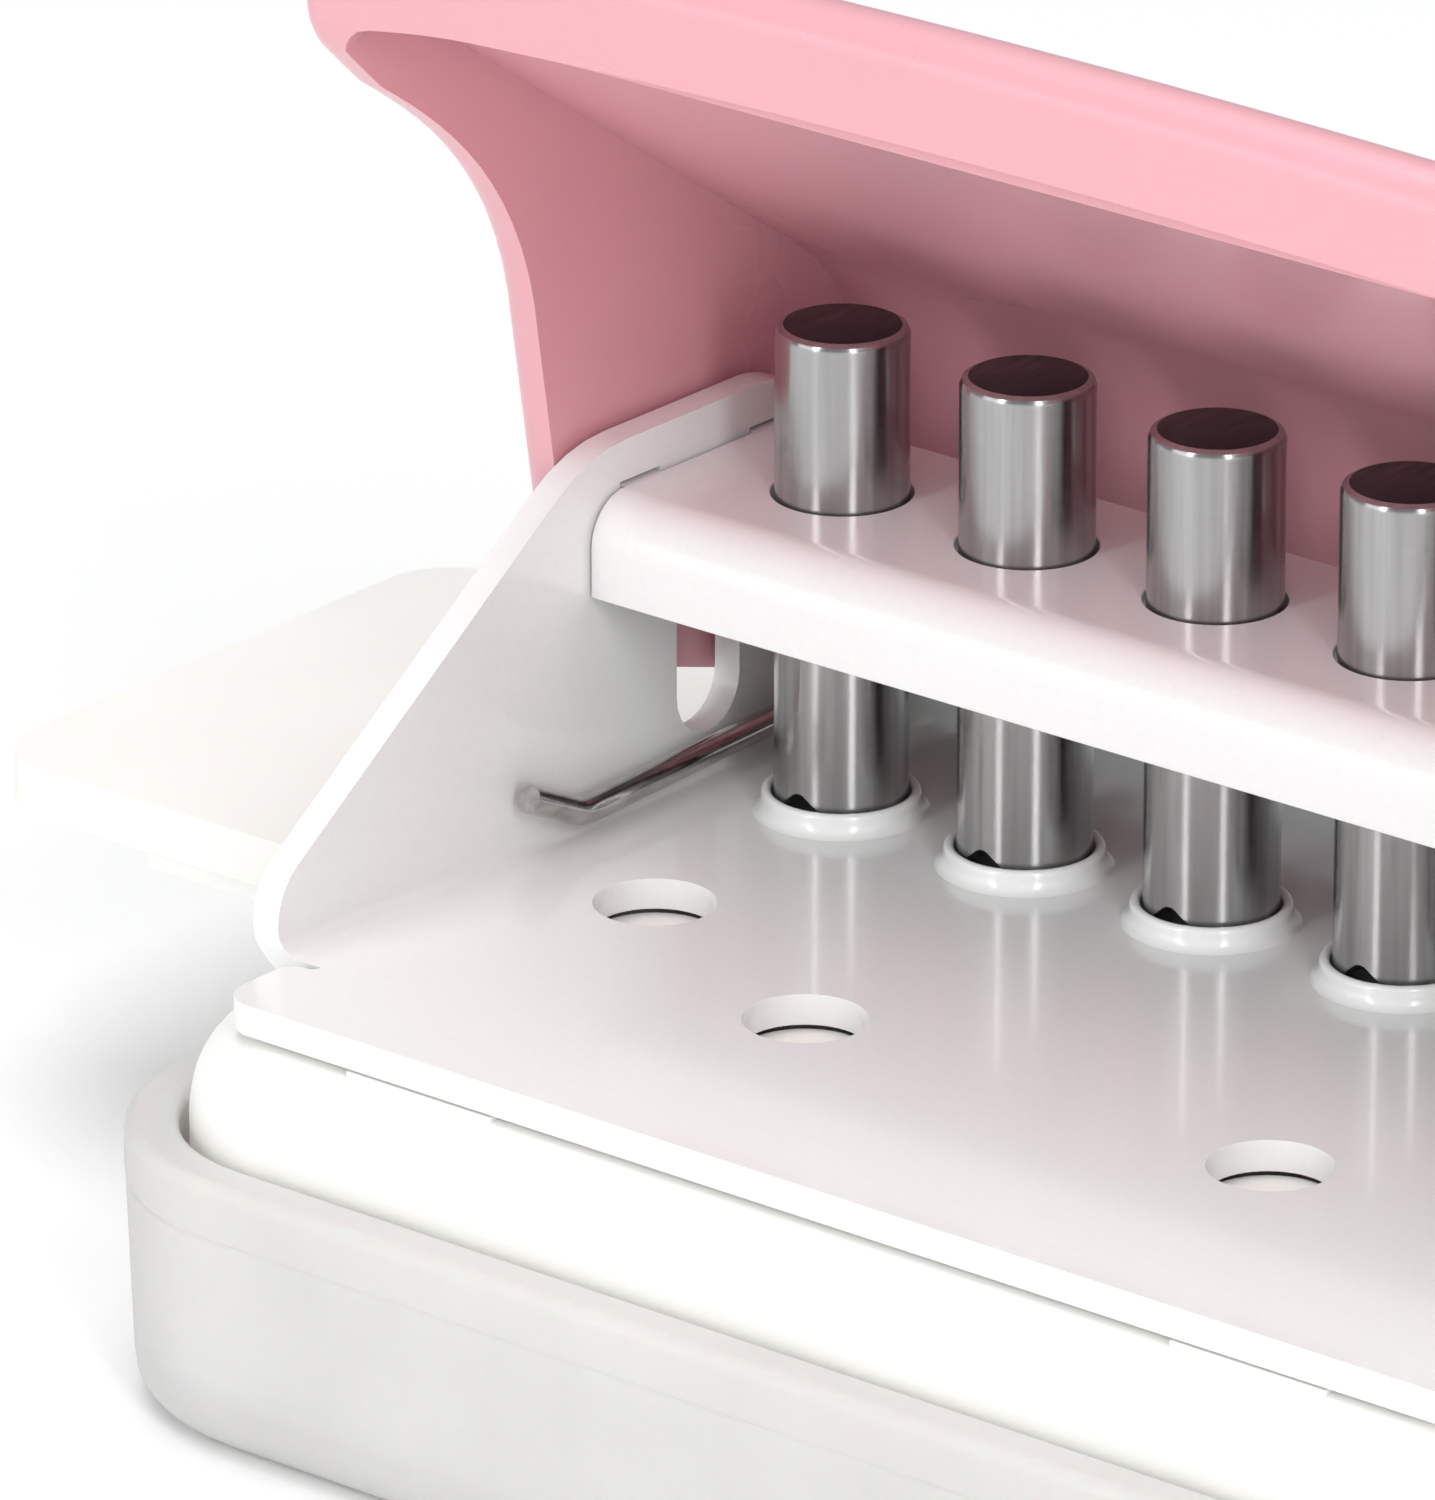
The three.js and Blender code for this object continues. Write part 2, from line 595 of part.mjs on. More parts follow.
function springCoil(side) {
  const first = LEG_ANGLE - Math.PI / 2;
  const last = 2 * Math.PI * COIL_TURNS + ARM_START - 0.12;
  const pitch = (LEG_X - Math.abs(armX(side)) - WIRE_D) / (last - first);
  const foot = aroundPivot(side * LEG_X, first);
  const direction = new THREE.Vector3(0, -Math.cos(LEG_ANGLE), -Math.sin(LEG_ANGLE));
  const legPoint = (distance) => foot.clone().addScaledVector(direction, distance);
  const elbow = legPoint(LEG_REACH);
  const tip = elbow.clone().add(new THREE.Vector3(0, -LEG_TIP_REACH, LEG_TIP_RISE));
  const bend = elbow.clone().add(new THREE.Vector3(0, -0.7, 0.2));
  const points = [tip, bend.lerp(elbow, 0.3)];
  points.push(legPoint(LEG_REACH - 0.9), legPoint(LEG_REACH / 2), legPoint(1.2));
  const turns = Math.round((last - first) / (Math.PI / 5));
  for (let i = 0; i <= turns; i++) {
    const angle = first + ((last - first) * i) / turns;
    points.push(aroundPivot(side * (LEG_X - pitch * (angle - first)), angle));
  }
  return wire(points, turns + 14);
}

function springArm(side) {
  const leave = Math.PI / 2 - ARM_ANGLE;
  const points = [];
  for (let i = 0; i <= 5; i++) {
    points.push(aroundPivot(armX(side), ARM_START + ((leave - ARM_START) * i) / 5));
  }
  const start = points.at(-1);
  const reach = (PIVOT_Y + ARM_OVERHANG) / Math.cos(ARM_ANGLE);
  for (const part of [0.1, 0.5, 1]) {
    const step = new THREE.Vector3(0, -Math.cos(ARM_ANGLE), Math.sin(ARM_ANGLE));
    points.push(start.clone().addScaledVector(step, reach * part));
  }
  return wire(points, 20);
}

// ---- Paper slot: die plate and stop ----

function diePlate() {
  const plate = box(-DIE_HALF, DIE_HALF, -DIE_FRONT, DIE_REAR, DIE_UNDER_Z, DIE_TOP_Z);
  const holes = eachPin((x) => roundBar("z", PIN_HOLE_R, DIE_UNDER_Z - 1, DIE_TOP_Z + 1, x, 0));
  return cut(plate, ...holes, ...fixingHoles(DIE_UNDER_Z - 1, DIE_TOP_Z + 1));
}

function fixingHoles(z0, z1) {
  const studHoles = STUDS.flatMap(([x, y]) =>
    bothSides((side) => roundBar("z", STUD_D / 2 + 2 * FIT, z0, z1, side * x, y, 16)),
  );
  const openHoles = LOCATING_HOLES.flatMap(([x, y]) =>
    bothSides((side) => roundBar("z", PEG_D / 2 + 2 * FIT, z0, z1, side * x, y, 20)),
  );
  return [...studHoles, ...openHoles];
}

// Its rear edge stops the sheets of paper.
function paperStop() {
  const z0 = DIE_TOP_Z + TOUCH;
  const z1 = PLATE_UNDER_Z - TOUCH;
  const strip = box(-DIE_HALF, DIE_HALF, -DIE_FRONT, -STOP_DEPTH, z0, z1);
  return cut(strip, ...fixingHoles(z0 - 1, z1 + 1));
}

function studNut(x, y) {
  const hex = new THREE.CylinderGeometry(NUT_CORNER_R, NUT_CORNER_R, NUT_H, 6).rotateX(Math.PI / 2);
  hex.translate(x, y, DECK_UNDER_Z - TOUCH - NUT_H / 2);
  return solid(hex).subtract(roundBar("z", STUD_D / 2 + FIT, 0, PLATE_Z, x, y, 16));
}

// ---- Base ----

const RAIL_Z0 = DECK_Z - FIT - RAIL_T;
const RAIL_ROWS = [
  [-RAIL_OFFSET - RAIL_W, -RAIL_OFFSET],
  [RAIL_OFFSET, RAIL_OFFSET + RAIL_W],
];

function base() {
  const plan = roundedPlan(-BASE_HALF, BASE_HALF, -BASE_FRONT, BASE_REAR, BASE_CORNER_R);
  const body = new THREE.ExtrudeGeometry(plan, {
    depth: BASE_TOP_Z,
    bevelEnabled: true,
    bevelThickness: BASE_SHOULDER_DOWN,
    bevelSize: BASE_SHOULDER_IN,
    bevelOffset: -BASE_SHOULDER_IN,
    bevelSegments: 5,
    curveSegments: 6,
  });
  body.translate(0, 0, -BASE_SHOULDER_DOWN);
  const inner = BASE_WALL;
  const underside = roundedPlan(
    -BASE_HALF + inner,
    BASE_HALF - inner,
    -BASE_FRONT + inner,
    BASE_REAR - inner,
    BASE_CORNER_R - inner,
  );
  const wide = 2 * TRAY_HALF;
  const side = DIE_HALF + 2 * FIT;
  const chuteLeft = ROW_SHIFT - ROW_HALF - CHUTE_END;
  const chuteRight = ROW_SHIFT + ROW_HALF + CHUTE_END;
  const rails = RAIL_ROWS.map(([y0, y1]) =>
    box(-wide, -BASE_HALF + RAIL_INSIDE + 2 * FIT, y0 - 2 * FIT, y1 + 2 * FIT, RAIL_Z0 - FIT, DECK_Z + TOUCH),
  );
  // Round pegs through the die plate and the paper stop close the locating holes from below.
  const pegs = LOCATING_HOLES.flatMap(([x, y]) =>
    bothSides((mirror) => roundBar("z", PEG_D / 2, DECK_UNDER_Z, BASE_TOP_Z, mirror * x, y, 20)),
  );
  const shell = cut(
    solid(body),
    box(-wide, wide, -wide, wide, -wide, BASE_BOTTOM_Z),
    raised(underside, BASE_BOTTOM_Z - 1, DECK_UNDER_Z),
    box(-side, side, -DIE_FRONT - 2 * FIT, DIE_REAR + 2 * FIT, DECK_Z, PLATE_Z),
    box(-wide, wide, -STOP_DEPTH - FIT, wide, DIE_TOP_Z - FIT, PLATE_Z),
    box(chuteLeft, chuteRight, -CHUTE_W / 2, CHUTE_W / 2, BASE_BOTTOM_Z - 1, DECK_Z + 1),
    ...STUDS.flatMap(([x, y]) =>
      bothSides((mirror) =>
        roundBar("z", STUD_D / 2 + 2 * FIT, BASE_BOTTOM_Z - 1, DECK_Z + 1, mirror * x, y, 16),
      ),
    ),
  );
  return cut(join(shell, ...pegs), ...rails);
}

// ---- Paper guide ----

function paperGuide() {
  const right = -BASE_HALF - 2 * FIT;
  const left = right - GUIDE_REACH;
  const top = DIE_TOP_Z - 2 * TOUCH;
  const cornerX = left + GUIDE_CORNER_R;
  const rearCornerY = GUIDE_REAR - GUIDE_CORNER_R;
  const frontCornerY = -GUIDE_FRONT + GUIDE_CORNER_R;
  const plan = new THREE.Shape();
  plan.moveTo(right, -GUIDE_FRONT);
  plan.lineTo(right, GUIDE_REAR);
  plan.lineTo(cornerX, GUIDE_REAR);
  plan.absarc(cornerX, rearCornerY, GUIDE_CORNER_R, Math.PI / 2, Math.PI, false);
  plan.lineTo(left, frontCornerY);
  plan.absarc(cornerX, frontCornerY, GUIDE_CORNER_R, Math.PI, 1.5 * Math.PI, false);
  const flat = raised(plan, top - GUIDE_T, top);
  const rails = RAIL_ROWS.map(([y0, y1]) =>
    box(right - RAIL_OVERLAP, -BASE_HALF + RAIL_INSIDE, y0, y1, RAIL_Z0, RAIL_Z0 + RAIL_T),
  );
  return join(flat, ...rails);
}

// ---- Chip tray ----

function chipTray() {
  const plan = roundedPlan(-TRAY_HALF, TRAY_HALF, -TRAY_FRONT, TRAY_REAR, BASE_CORNER_R + TRAY_WALL);
  const body = new THREE.ExtrudeGeometry(plan, {
    depth: TRAY_HEIGHT,
    bevelEnabled: true,
    bevelThickness: TRAY_EDGE_R,
    bevelSize: TRAY_EDGE_R,
    bevelOffset: -TRAY_EDGE_R,
    bevelSegments: 4,
    curveSegments: 6,
  });
  body.translate(0, 0, TRAY_EDGE_R);
  const pocket = (inset, z0, z1) =>
    raised(
      roundedPlan(
        -TRAY_HALF + inset,
        TRAY_HALF - inset,
        -TRAY_FRONT + inset,
        TRAY_REAR - inset,
        BASE_CORNER_R + TRAY_WALL - inset,
      ),
      z0,
      z1,
    );
  const wide = 2 * TRAY_HALF;
  const ledgeZ = BASE_BOTTOM_Z - 2 * FIT;
  return cut(
    solid(body),
    box(-wide, wide, -wide, wide, TRAY_HEIGHT, 3 * TRAY_HEIGHT),
    pocket(TRAY_WALL, ledgeZ, 3 * TRAY_HEIGHT),
    pocket(TRAY_WALL + TRAY_LEDGE, TRAY_FLOOR, 3 * TRAY_HEIGHT),
  );
}

// ---- Materials ----

const finish = (color, roughness, metalness = 0) =>
  new THREE.MeshStandardMaterial({ color, roughness, metalness });

const pinkPlastic = () => finish(0xe79aa6, 0.25);
const whiteCoating = () => finish(0xe9e9ea, 0.35, 0.2);
const whitePlastic = () => finish(0xeeece4, 0.4);
const frostedPlastic = () => finish(0xb4afa6, 0.45);
const groundSteel = () => finish(0xc3c3c6, 0.25, 1);
const springSteel = () => finish(0x6b6866, 0.35, 1);
const platedSteel = () => finish(0xb5b7ba, 0.4, 1);

// ---- Assembly ----

const punch = new THREE.Group();

function place(name, body, material) {
  const mesh = new THREE.Mesh(geometryOf(body), material);
  mesh.name = name;
  punch.add(mesh);
}

place("u_frame", uFrame(), whiteCoating());
place("guide_bar", guideBar(), whiteCoating());
eachPin((x, index) => place("punch_pin_" + (index + 1), punchPin(x), groundSteel()));
place("lift_rod", liftRod(), platedSteel());
place("handle", handle(), pinkPlastic());
place("pivot_axle", pivotAxle(), platedSteel());
for (const [name, side] of SIDES) {
  place("axle_clip_" + name, axleClip(side), platedSteel());
  place("return_spring_" + name, springCoil(side), springSteel());
  place("spring_arm_" + name, springArm(side), springSteel());
}
place("die_plate", diePlate(), platedSteel());
place("paper_stop", paperStop(), platedSteel());
STUDS.forEach(([x, y], row) => {
  const where = ["front", "rear"][row];
  for (const [name, side] of SIDES) {
    place("stud_nut_" + where + "_" + name, studNut(side * x, y), platedSteel());
  }
});
place("base", base(), whitePlastic());
place("paper_guide", paperGuide(), whitePlastic());
place("chip_tray", chipTray(), frostedPlastic());

export default punch;
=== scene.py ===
"""Finished pieces, materials, studio and camera for a small loose-leaf paper punch.

Laid out as an add-on: each piece has an operator, its sizes are properties, and main() runs them
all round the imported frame. Lengths are in metres.
"""

import json
import math

import bmesh
import bpy
from bpy.props import FloatProperty, FloatVectorProperty, IntProperty, PointerProperty
from bpy.types import Operator, Panel, PropertyGroup
from mathutils import Matrix, Vector


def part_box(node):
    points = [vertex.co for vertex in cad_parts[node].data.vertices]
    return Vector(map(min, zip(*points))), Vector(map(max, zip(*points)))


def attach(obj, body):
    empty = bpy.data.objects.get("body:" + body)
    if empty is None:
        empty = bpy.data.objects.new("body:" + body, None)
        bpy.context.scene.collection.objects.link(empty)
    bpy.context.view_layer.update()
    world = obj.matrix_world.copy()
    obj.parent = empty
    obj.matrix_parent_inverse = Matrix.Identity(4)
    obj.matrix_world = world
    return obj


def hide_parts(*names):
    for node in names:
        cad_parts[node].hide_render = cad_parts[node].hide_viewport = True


bl_info = {
    "name": "Loose-leaf Paper Punch",
    "version": (1, 0, 0),
    "blender": (4, 5, 0),
    "location": "View3D > Sidebar > Paper Punch",
    "description": "Builds the finished pieces of a paper punch round its fixed frame",
    "category": "Add Mesh",
}

MM = 0.001

# ---- Places read from the frame ----

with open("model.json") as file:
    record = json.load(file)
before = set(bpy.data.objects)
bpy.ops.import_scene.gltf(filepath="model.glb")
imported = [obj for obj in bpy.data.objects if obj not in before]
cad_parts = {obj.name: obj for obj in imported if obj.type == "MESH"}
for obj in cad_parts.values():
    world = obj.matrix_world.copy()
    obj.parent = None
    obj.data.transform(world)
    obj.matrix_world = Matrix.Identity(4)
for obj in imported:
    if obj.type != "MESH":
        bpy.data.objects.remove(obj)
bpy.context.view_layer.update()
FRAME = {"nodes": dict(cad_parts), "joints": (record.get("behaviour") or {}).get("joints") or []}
JOINTS = {joint["name"]: joint for joint in FRAME["joints"]}


def low(node):
    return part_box(node)[0]


def high(node):
    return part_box(node)[1]


def middle(node):
    return (low(node) + high(node)) / 2


SEAM = 0.05 * MM
SHEET = 1.3 * MM
PINS = sorted(name for name in FRAME["nodes"] if name.startswith("punch_pin_"))
PIN_XS = [middle(name).x for name in PINS]
PIN_R = (high(PINS[0]).x - low(PINS[0]).x) / 2
PIN_TIP = low(PINS[0]).z
PIN_TOP = high(PINS[0]).z
PLATE = high("paper_stop").z + SEAM + SHEET
PLATE_FRONT = low("u_frame").y
EAR_OUT = high("u_frame").x
EAR_IN = EAR_OUT - SHEET
EAR_TOP = high("u_frame").z
ROD = middle("lift_rod")
ROD_R = (high("lift_rod").z - low("lift_rod").z) / 2
PIVOT = Vector(JOINTS["handle_press"]["pos_m"])
AXLE_R = (high("pivot_axle").z - low("pivot_axle").z) / 2
BAR_LOW = low("guide_bar")
BAR_HIGH = high("guide_bar")
HANDLE_LOW = low("handle")
HANDLE_HIGH = high("handle")
BASE_LOW = low("base")
BASE_HIGH = high("base")
TRAY_LOW = low("chip_tray")
TRAY_HIGH = high("chip_tray")
GUIDE_LOW = low("paper_guide")
GUIDE_HIGH = high("paper_guide")
FAR = 0.1


# ---- Sizes and colours that a user may change ----


def length(name, millimetres, description):
    return FloatProperty(
        name=name,
        description=description,
        default=millimetres * MM,
        min=0.0,
        precision=5,
        unit="LENGTH",
    )


def linear(hex_colour):
    """An sRGB hex colour as linear red, green and blue."""
    value = hex_colour.lstrip("#")
    channels = [int(value[i : i + 2], 16) / 255 for i in (0, 2, 4)]
    return tuple(c / 12.92 if c <= 0.04045 else ((c + 0.055) / 1.055) ** 2.4 for c in channels)


def colour(name, hex_colour, description):
    return FloatVectorProperty(
        name=name,
        description=description,
        default=linear(hex_colour),
        subtype="COLOR",
        size=3,
        min=0.0,
        max=1.0,
    )


class PunchFrameSettings(PropertyGroup):
    coat_colour: colour("Coat", "#EAEBEA", "Colour of the powder coat on the frame and the bar")
    bend_radius: length("Bend radius", 1.0, "Inside radius of the frame's two bends")
    edge_radius: length("Edge radius", 0.42, "Rounding that the powder coat leaves on sheet edges")
    collar_wall: length("Collar wall", 0.42, "Wall of the collars drawn up round the pins")
    collar_height: length("Collar height", 0.95, "Height of the collars over the floor")
    hole_diameter: length("Locating hole", 5.0, "Diameter of the four locating holes")
    slot_width: length("Rod slot", 4.0, "Width of the slots for the lift rod in the ears")


class PunchPinSettings(PropertyGroup):
    steel_colour: colour("Steel", "#A9A8A8", "Colour of the ground steel")
    # The face colour is painted shade: a near black that stands in for the dark hollow of the
    # handle that each pin's upper face reflects.
    face_shade_colour: colour("Face", "#1B1618", "Colour of the upper faces, painted dark for the shade they reflect")
    chamfer: length("Chamfer", 0.35, "Chamfer round the upper face")
    notch_depth: length("Notch depth", 1.9, "Depth of the V across the cutting end")
    notch_width: length("Notch width", 4.6, "Width of the V at the cutting end")


class PunchHandleSettings(PropertyGroup):
    plastic_colour: colour("Plastic", "#DCA0A9", "Colour of the handle's plastic")
    cheek: length("Cheek", 2.2, "Thickness of the cheeks")
    wall: length("Wall", 2.6, "Thickness of the top and rear walls")
    edge_radius: length("Edge radius", 1.8, "Rounding of the outer edges")
    rear_radius: length("Rear radius", 9.0, "Inside radius where the top rolls down to the rear")
    slope: FloatProperty(
        name="Slope",
        description="Fall of the raised handle's top towards the rear",
        default=math.radians(34),
        subtype="ANGLE",
    )
    lip_height: length("Lip height", 5.9, "Height of the lip along the front edge")
    crown: length("Crown", 0.95, "Rise of the lip in the middle over its ends")


class PunchSpringSettings(PropertyGroup):
    wire_colour: colour("Wire", "#C6C3C0", "Colour of the spring wire")
    wire_diameter: length("Wire", 1.15, "Diameter of the spring wire")
    turns: IntProperty(name="Turns", description="Turns of each coil", default=7, min=1)


class PunchStandSettings(PropertyGroup):
    base_colour: colour("Base", "#F1F0EC", "Colour of the base and the paper guide")
    tray_colour: colour("Tray", "#EEEDEB", "Colour of the frosted tray")
    ink_colour: colour("Ink", "#D8573F", "Colour of the strokes printed on the paper guide")
    shoulder: length("Shoulder", 2.8, "How far the base's shoulder draws in")
    shoulder_drop: length("Shoulder drop", 3.9, "How far down the shoulder reaches")
    corner_radius: length("Corner radius", 7.0, "Radius of the base's corners seen from above")
    tray_wall: length("Tray wall", 2.2, "Thickness of the tray's wall")


class PunchStudioSettings(PropertyGroup):
    floor_colour: colour("Floor", "#F4F4F4", "Colour of the studio floor")
    azimuth: FloatProperty(
        name="Azimuth",
        description="Direction of the camera, from the front towards the right end",
        default=math.radians(39.58),
        subtype="ANGLE",
    )
    elevation: FloatProperty(
        name="Elevation",
        description="Height of the camera over the horizon",
        default=math.radians(21.55),
        subtype="ANGLE",
    )
    distance: length("Distance", 600.6, "Distance of the camera from the point it looks at")
    lens: FloatProperty(
        name="Focal length",
        description="Focal length of the camera, in millimetres",
        default=355.1,
        subtype="DISTANCE_CAMERA",
    )


# ---- Outlines ----


def arc(centre_u, centre_v, radius, start, end, steps=12):
    """Points on an arc, with its start and end angles in degrees."""
    angles = [math.radians(start + (end - start) * i / steps) for i in range(steps + 1)]
    return [(centre_u + radius * math.cos(a), centre_v + radius * math.sin(a)) for a in angles]


def bezier(a, b, c, d, steps=12):
    points = []
    for i in range(steps + 1):
        t = i / steps
        weights = ((1 - t) ** 3, 3 * t * (1 - t) ** 2, 3 * t * t * (1 - t), t**3)
        points.append(
            tuple(sum(w * p[k] for w, p in zip(weights, (a, b, c, d))) for k in range(2))
        )
    return points


def rounded(corners, step=9):
    """An outline from corners, each (u, v) for a sharp one or (u, v, radius) for a round one."""
    points = []
    for i, corner in enumerate(corners):
        here = Vector(corner[:2])
        radius = corner[2] if len(corner) > 2 else 0
        if radius <= 0:
            points.append(tuple(here))
            continue
        before = (Vector(corners[i - 1][:2]) - here).normalized()
        after = (Vector(corners[(i + 1) % len(corners)][:2]) - here).normalized()
        half = before.angle(after) / 2
        centre = here + (before + after).normalized() * radius / math.sin(half)
        first = here + before * radius / math.tan(half) - centre
        last = here + after * radius / math.tan(half) - centre
        sweep = first.angle_signed(last)
        count = max(2, math.ceil(abs(math.degrees(sweep)) / step))
        for k in range(count + 1):
            turned = first.copy()
            turned.rotate(Matrix.Rotation(-sweep * k / count, 2))
            points.append(tuple(centre + turned))
    return points


def rectangle(u0, u1, v0, v1, radius=0.0):
    return rounded([(u0, v0, radius), (u1, v0, radius), (u1, v1, radius), (u0, v1, radius)])


def circle(u, v, radius, steps=48):
    return arc(u, v, radius, 0, 360, steps)[:-1]


# ---- Meshes ----


def object_from(name, mesh_builder):
    mesh = bpy.data.meshes.new(name)
    bmesh.ops.remove_doubles(mesh_builder, verts=mesh_builder.verts, dist=1e-7)
    bmesh.ops.recalc_face_normals(mesh_builder, faces=mesh_builder.faces)
    mesh_builder.to_mesh(mesh)
    mesh_builder.free()
    piece = bpy.data.objects.new(name, mesh)
    bpy.context.scene.collection.objects.link(piece)
    return piece


PLACES = {
    "x": lambda along, u, v: (along, u, v),
    "y": lambda along, u, v: (u, along, v),
    "z": lambda along, u, v: (u, v, along),
}


def add_prism(builder, outline, axis, start, end):
    """Carries a closed outline along an axis: X takes (y, z) points, Y (x, z) and Z (x, y)."""
    place = PLACES[axis]
    first = [builder.verts.new(place(start, u, v)) for u, v in outline]
    last = [builder.verts.new(place(end, u, v)) for u, v in outline]
    builder.faces.new(first)
    builder.faces.new(list(reversed(last)))
    for i in range(len(outline)):
        j = (i + 1) % len(outline)
        builder.faces.new((first[i], last[i], last[j], first[j]))


def lofted(name, outlines):
    """A closed body through outlines of (y, z) points, each at its place along X."""
    builder = bmesh.new()
    rings = [[builder.verts.new((x, y, z)) for y, z in outline] for x, outline in outlines]
    builder.faces.new(rings[0])
    builder.faces.new(list(reversed(rings[-1])))
    for near, far in zip(rings, rings[1:]):
        for i in range(len(near)):
            j = (i + 1) % len(near)
            builder.faces.new((near[i], far[i], far[j], near[j]))
    return object_from(name, builder)


def prisms(name, *blocks):
    """One object made of several separate prisms."""
    builder = bmesh.new()
    for block in blocks:
        add_prism(builder, *block)
    return object_from(name, builder)


def add_turned(builder, profile, axis, a, b, steps=64):
    """Turns a closed profile of (radius, along) points round a line along an axis."""
    place = PLACES[axis]
    rings = []
    for radius, along in profile:
        if radius <= 0:
            rings.append([builder.verts.new(place(along, a, b))])
            continue
        ring = []
        for u, v in circle(a, b, radius, steps):
            ring.append(builder.verts.new(place(along, u, v)))
        rings.append(ring)
    pairs = list(zip(rings, rings[1:] + rings[:1]))
    for near, far in pairs:
        for i in range(steps):
            j = (i + 1) % steps
            corners = [near[i % len(near)], near[j % len(near)]]
            corners += [far[j % len(far)], far[i % len(far)]]
            unique = list(dict.fromkeys(corners))
            if len(unique) > 2:
                builder.faces.new(unique)


def turned(name, *parts, steps=64):
    """One object made of several turned parts, each (profile, axis, a, b)."""
    builder = bmesh.new()
    for part in parts:
        add_turned(builder, *part, steps=steps)
    return object_from(name, builder)


def settle(piece):
    """Replaces a piece's mesh by what its modifiers make of it."""
    graph = bpy.context.evaluated_depsgraph_get()
    mesh = bpy.data.meshes.new_from_object(piece.evaluated_get(graph))
    old = piece.data
    piece.modifiers.clear()
    piece.data = mesh
    mesh.name = piece.name
    bpy.data.meshes.remove(old)
    return piece


def combine(piece, tool, operation):
    """Joins, cuts or intersects a piece with a tool, which is used up."""
    modifier = piece.modifiers.new("Shape", "BOOLEAN")
    modifier.operation = operation
    modifier.solver = "EXACT"
    modifier.object = tool
    settle(piece)
    bpy.data.objects.remove(tool)
    return piece


def round_edges(piece, radius, segments=3, angle=32):
    modifier = piece.modifiers.new("Rounded edges", "BEVEL")
    modifier.width = radius
    modifier.segments = segments
    modifier.limit_method = "ANGLE"
    modifier.angle_limit = math.radians(angle)
    modifier.miter_outer = "MITER_ARC"
    return settle(piece)


def smooth(piece, angle=35):
    """Shades a piece smoothly, except across its sharp edges, and keeps its flat faces flat."""
    piece.data.shade_smooth()
    piece.data.set_sharp_from_angle(angle=math.radians(angle))
    modifier = piece.modifiers.new("Flat faces", "WEIGHTED_NORMAL")
    modifier.keep_sharp = True
    return settle(piece)


def merge(piece, *others):
    """Takes the meshes of other objects into the piece."""
    builder = bmesh.new()
    builder.from_mesh(piece.data)
    for other in others:
        builder.from_mesh(other.data)
        bpy.data.objects.remove(other)
    builder.to_mesh(piece.data)
    builder.free()
    return piece


def cleaned_copy(node, name):
    """A merged copy of a frame node's mesh, with its flat faces made whole."""
    builder = bmesh.new()
    builder.from_mesh(FRAME["nodes"][node].data)
    bmesh.ops.remove_doubles(builder, verts=builder.verts, dist=1e-6)
    bmesh.ops.dissolve_limit(
        builder,
        angle_limit=math.radians(1),
        verts=builder.verts,
        edges=builder.edges,
    )
    return object_from(name, builder)


def place(piece, node, body, slot, *materials):
    """Hands a finished piece its materials and its body, and hides the frame node that it stands
    for.
    """
    piece.data.materials.clear()
    for material in materials:
        piece.data.materials.append(material)
    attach(piece, body)
    if node:
        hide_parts(node)
    return piece


# ---- Materials ----


def add_node(material, kind, inputs=None, **settings):
    """Adds a shader node, sets its settings, and sets or links each input."""
    tree = material.node_tree
    node = tree.nodes.new("ShaderNode" + kind)
    for name, value in settings.items():
        setattr(node, name, value)
    for name, value in (inputs or {}).items():
        if isinstance(value, bpy.types.NodeSocket):
            tree.links.new(value, node.inputs[name])
        else:
            node.inputs[name].default_value = value
    return node


def with_alpha(rgb, gain=1.0):
    return (*[min(1.0, c * gain) for c in rgb], 1.0)


def material_named(name):
    """A new material and its shader."""
    material = bpy.data.materials.new(name)
    material.use_nodes = True
    return material, material.node_tree.nodes["Principled BSDF"]


def set_inputs(shader, values):
    for name, value in values.items():
        shader.inputs[name].default_value = value


def object_noise(material, feature, detail=3.0, stretch=(1, 1, 1)):
    """Noise whose features are this many metres across, on the piece's own coordinates."""
    place_node = add_node(material, "TexCoord")
    mapping = add_node(
        material, "Mapping", {"Vector": place_node.outputs["Object"], "Scale": stretch}
    )
    return add_node(
        material,
        "TexNoise",
        {"Vector": mapping.outputs["Vector"], "Scale": 1 / feature, "Detail": detail},
    ).outputs["Fac"]


def spread(material, value, low_value, high_value, start=0.3, end=0.7):
    """Maps a noise value to a range."""
    return add_node(
        material,
        "MapRange",
        {
            "Value": value,
            "From Min": start,
            "From Max": end,
            "To Min": low_value,
            "To Max": high_value,
        },
    ).outputs["Result"]


def two_tones(material, value, first, second):
    ramp = add_node(material, "ValToRGB", {"Fac": value})
    ramp.color_ramp.elements[0].position = 0.3
    ramp.color_ramp.elements[0].color = first
    ramp.color_ramp.elements[1].position = 0.7
    ramp.color_ramp.elements[1].color = second
    return ramp.outputs["Color"]


def connect(material, shader, **sockets):
    """Links outputs to the shader's inputs, named with underscores for spaces."""
    for name, socket in sockets.items():
        material.node_tree.links.new(socket, shader.inputs[name.replace("_", " ")])


def bump(material, height, distance, strength):
    return add_node(
        material, "Bump", {"Height": height, "Distance": distance, "Strength": strength}
    ).outputs["Normal"]


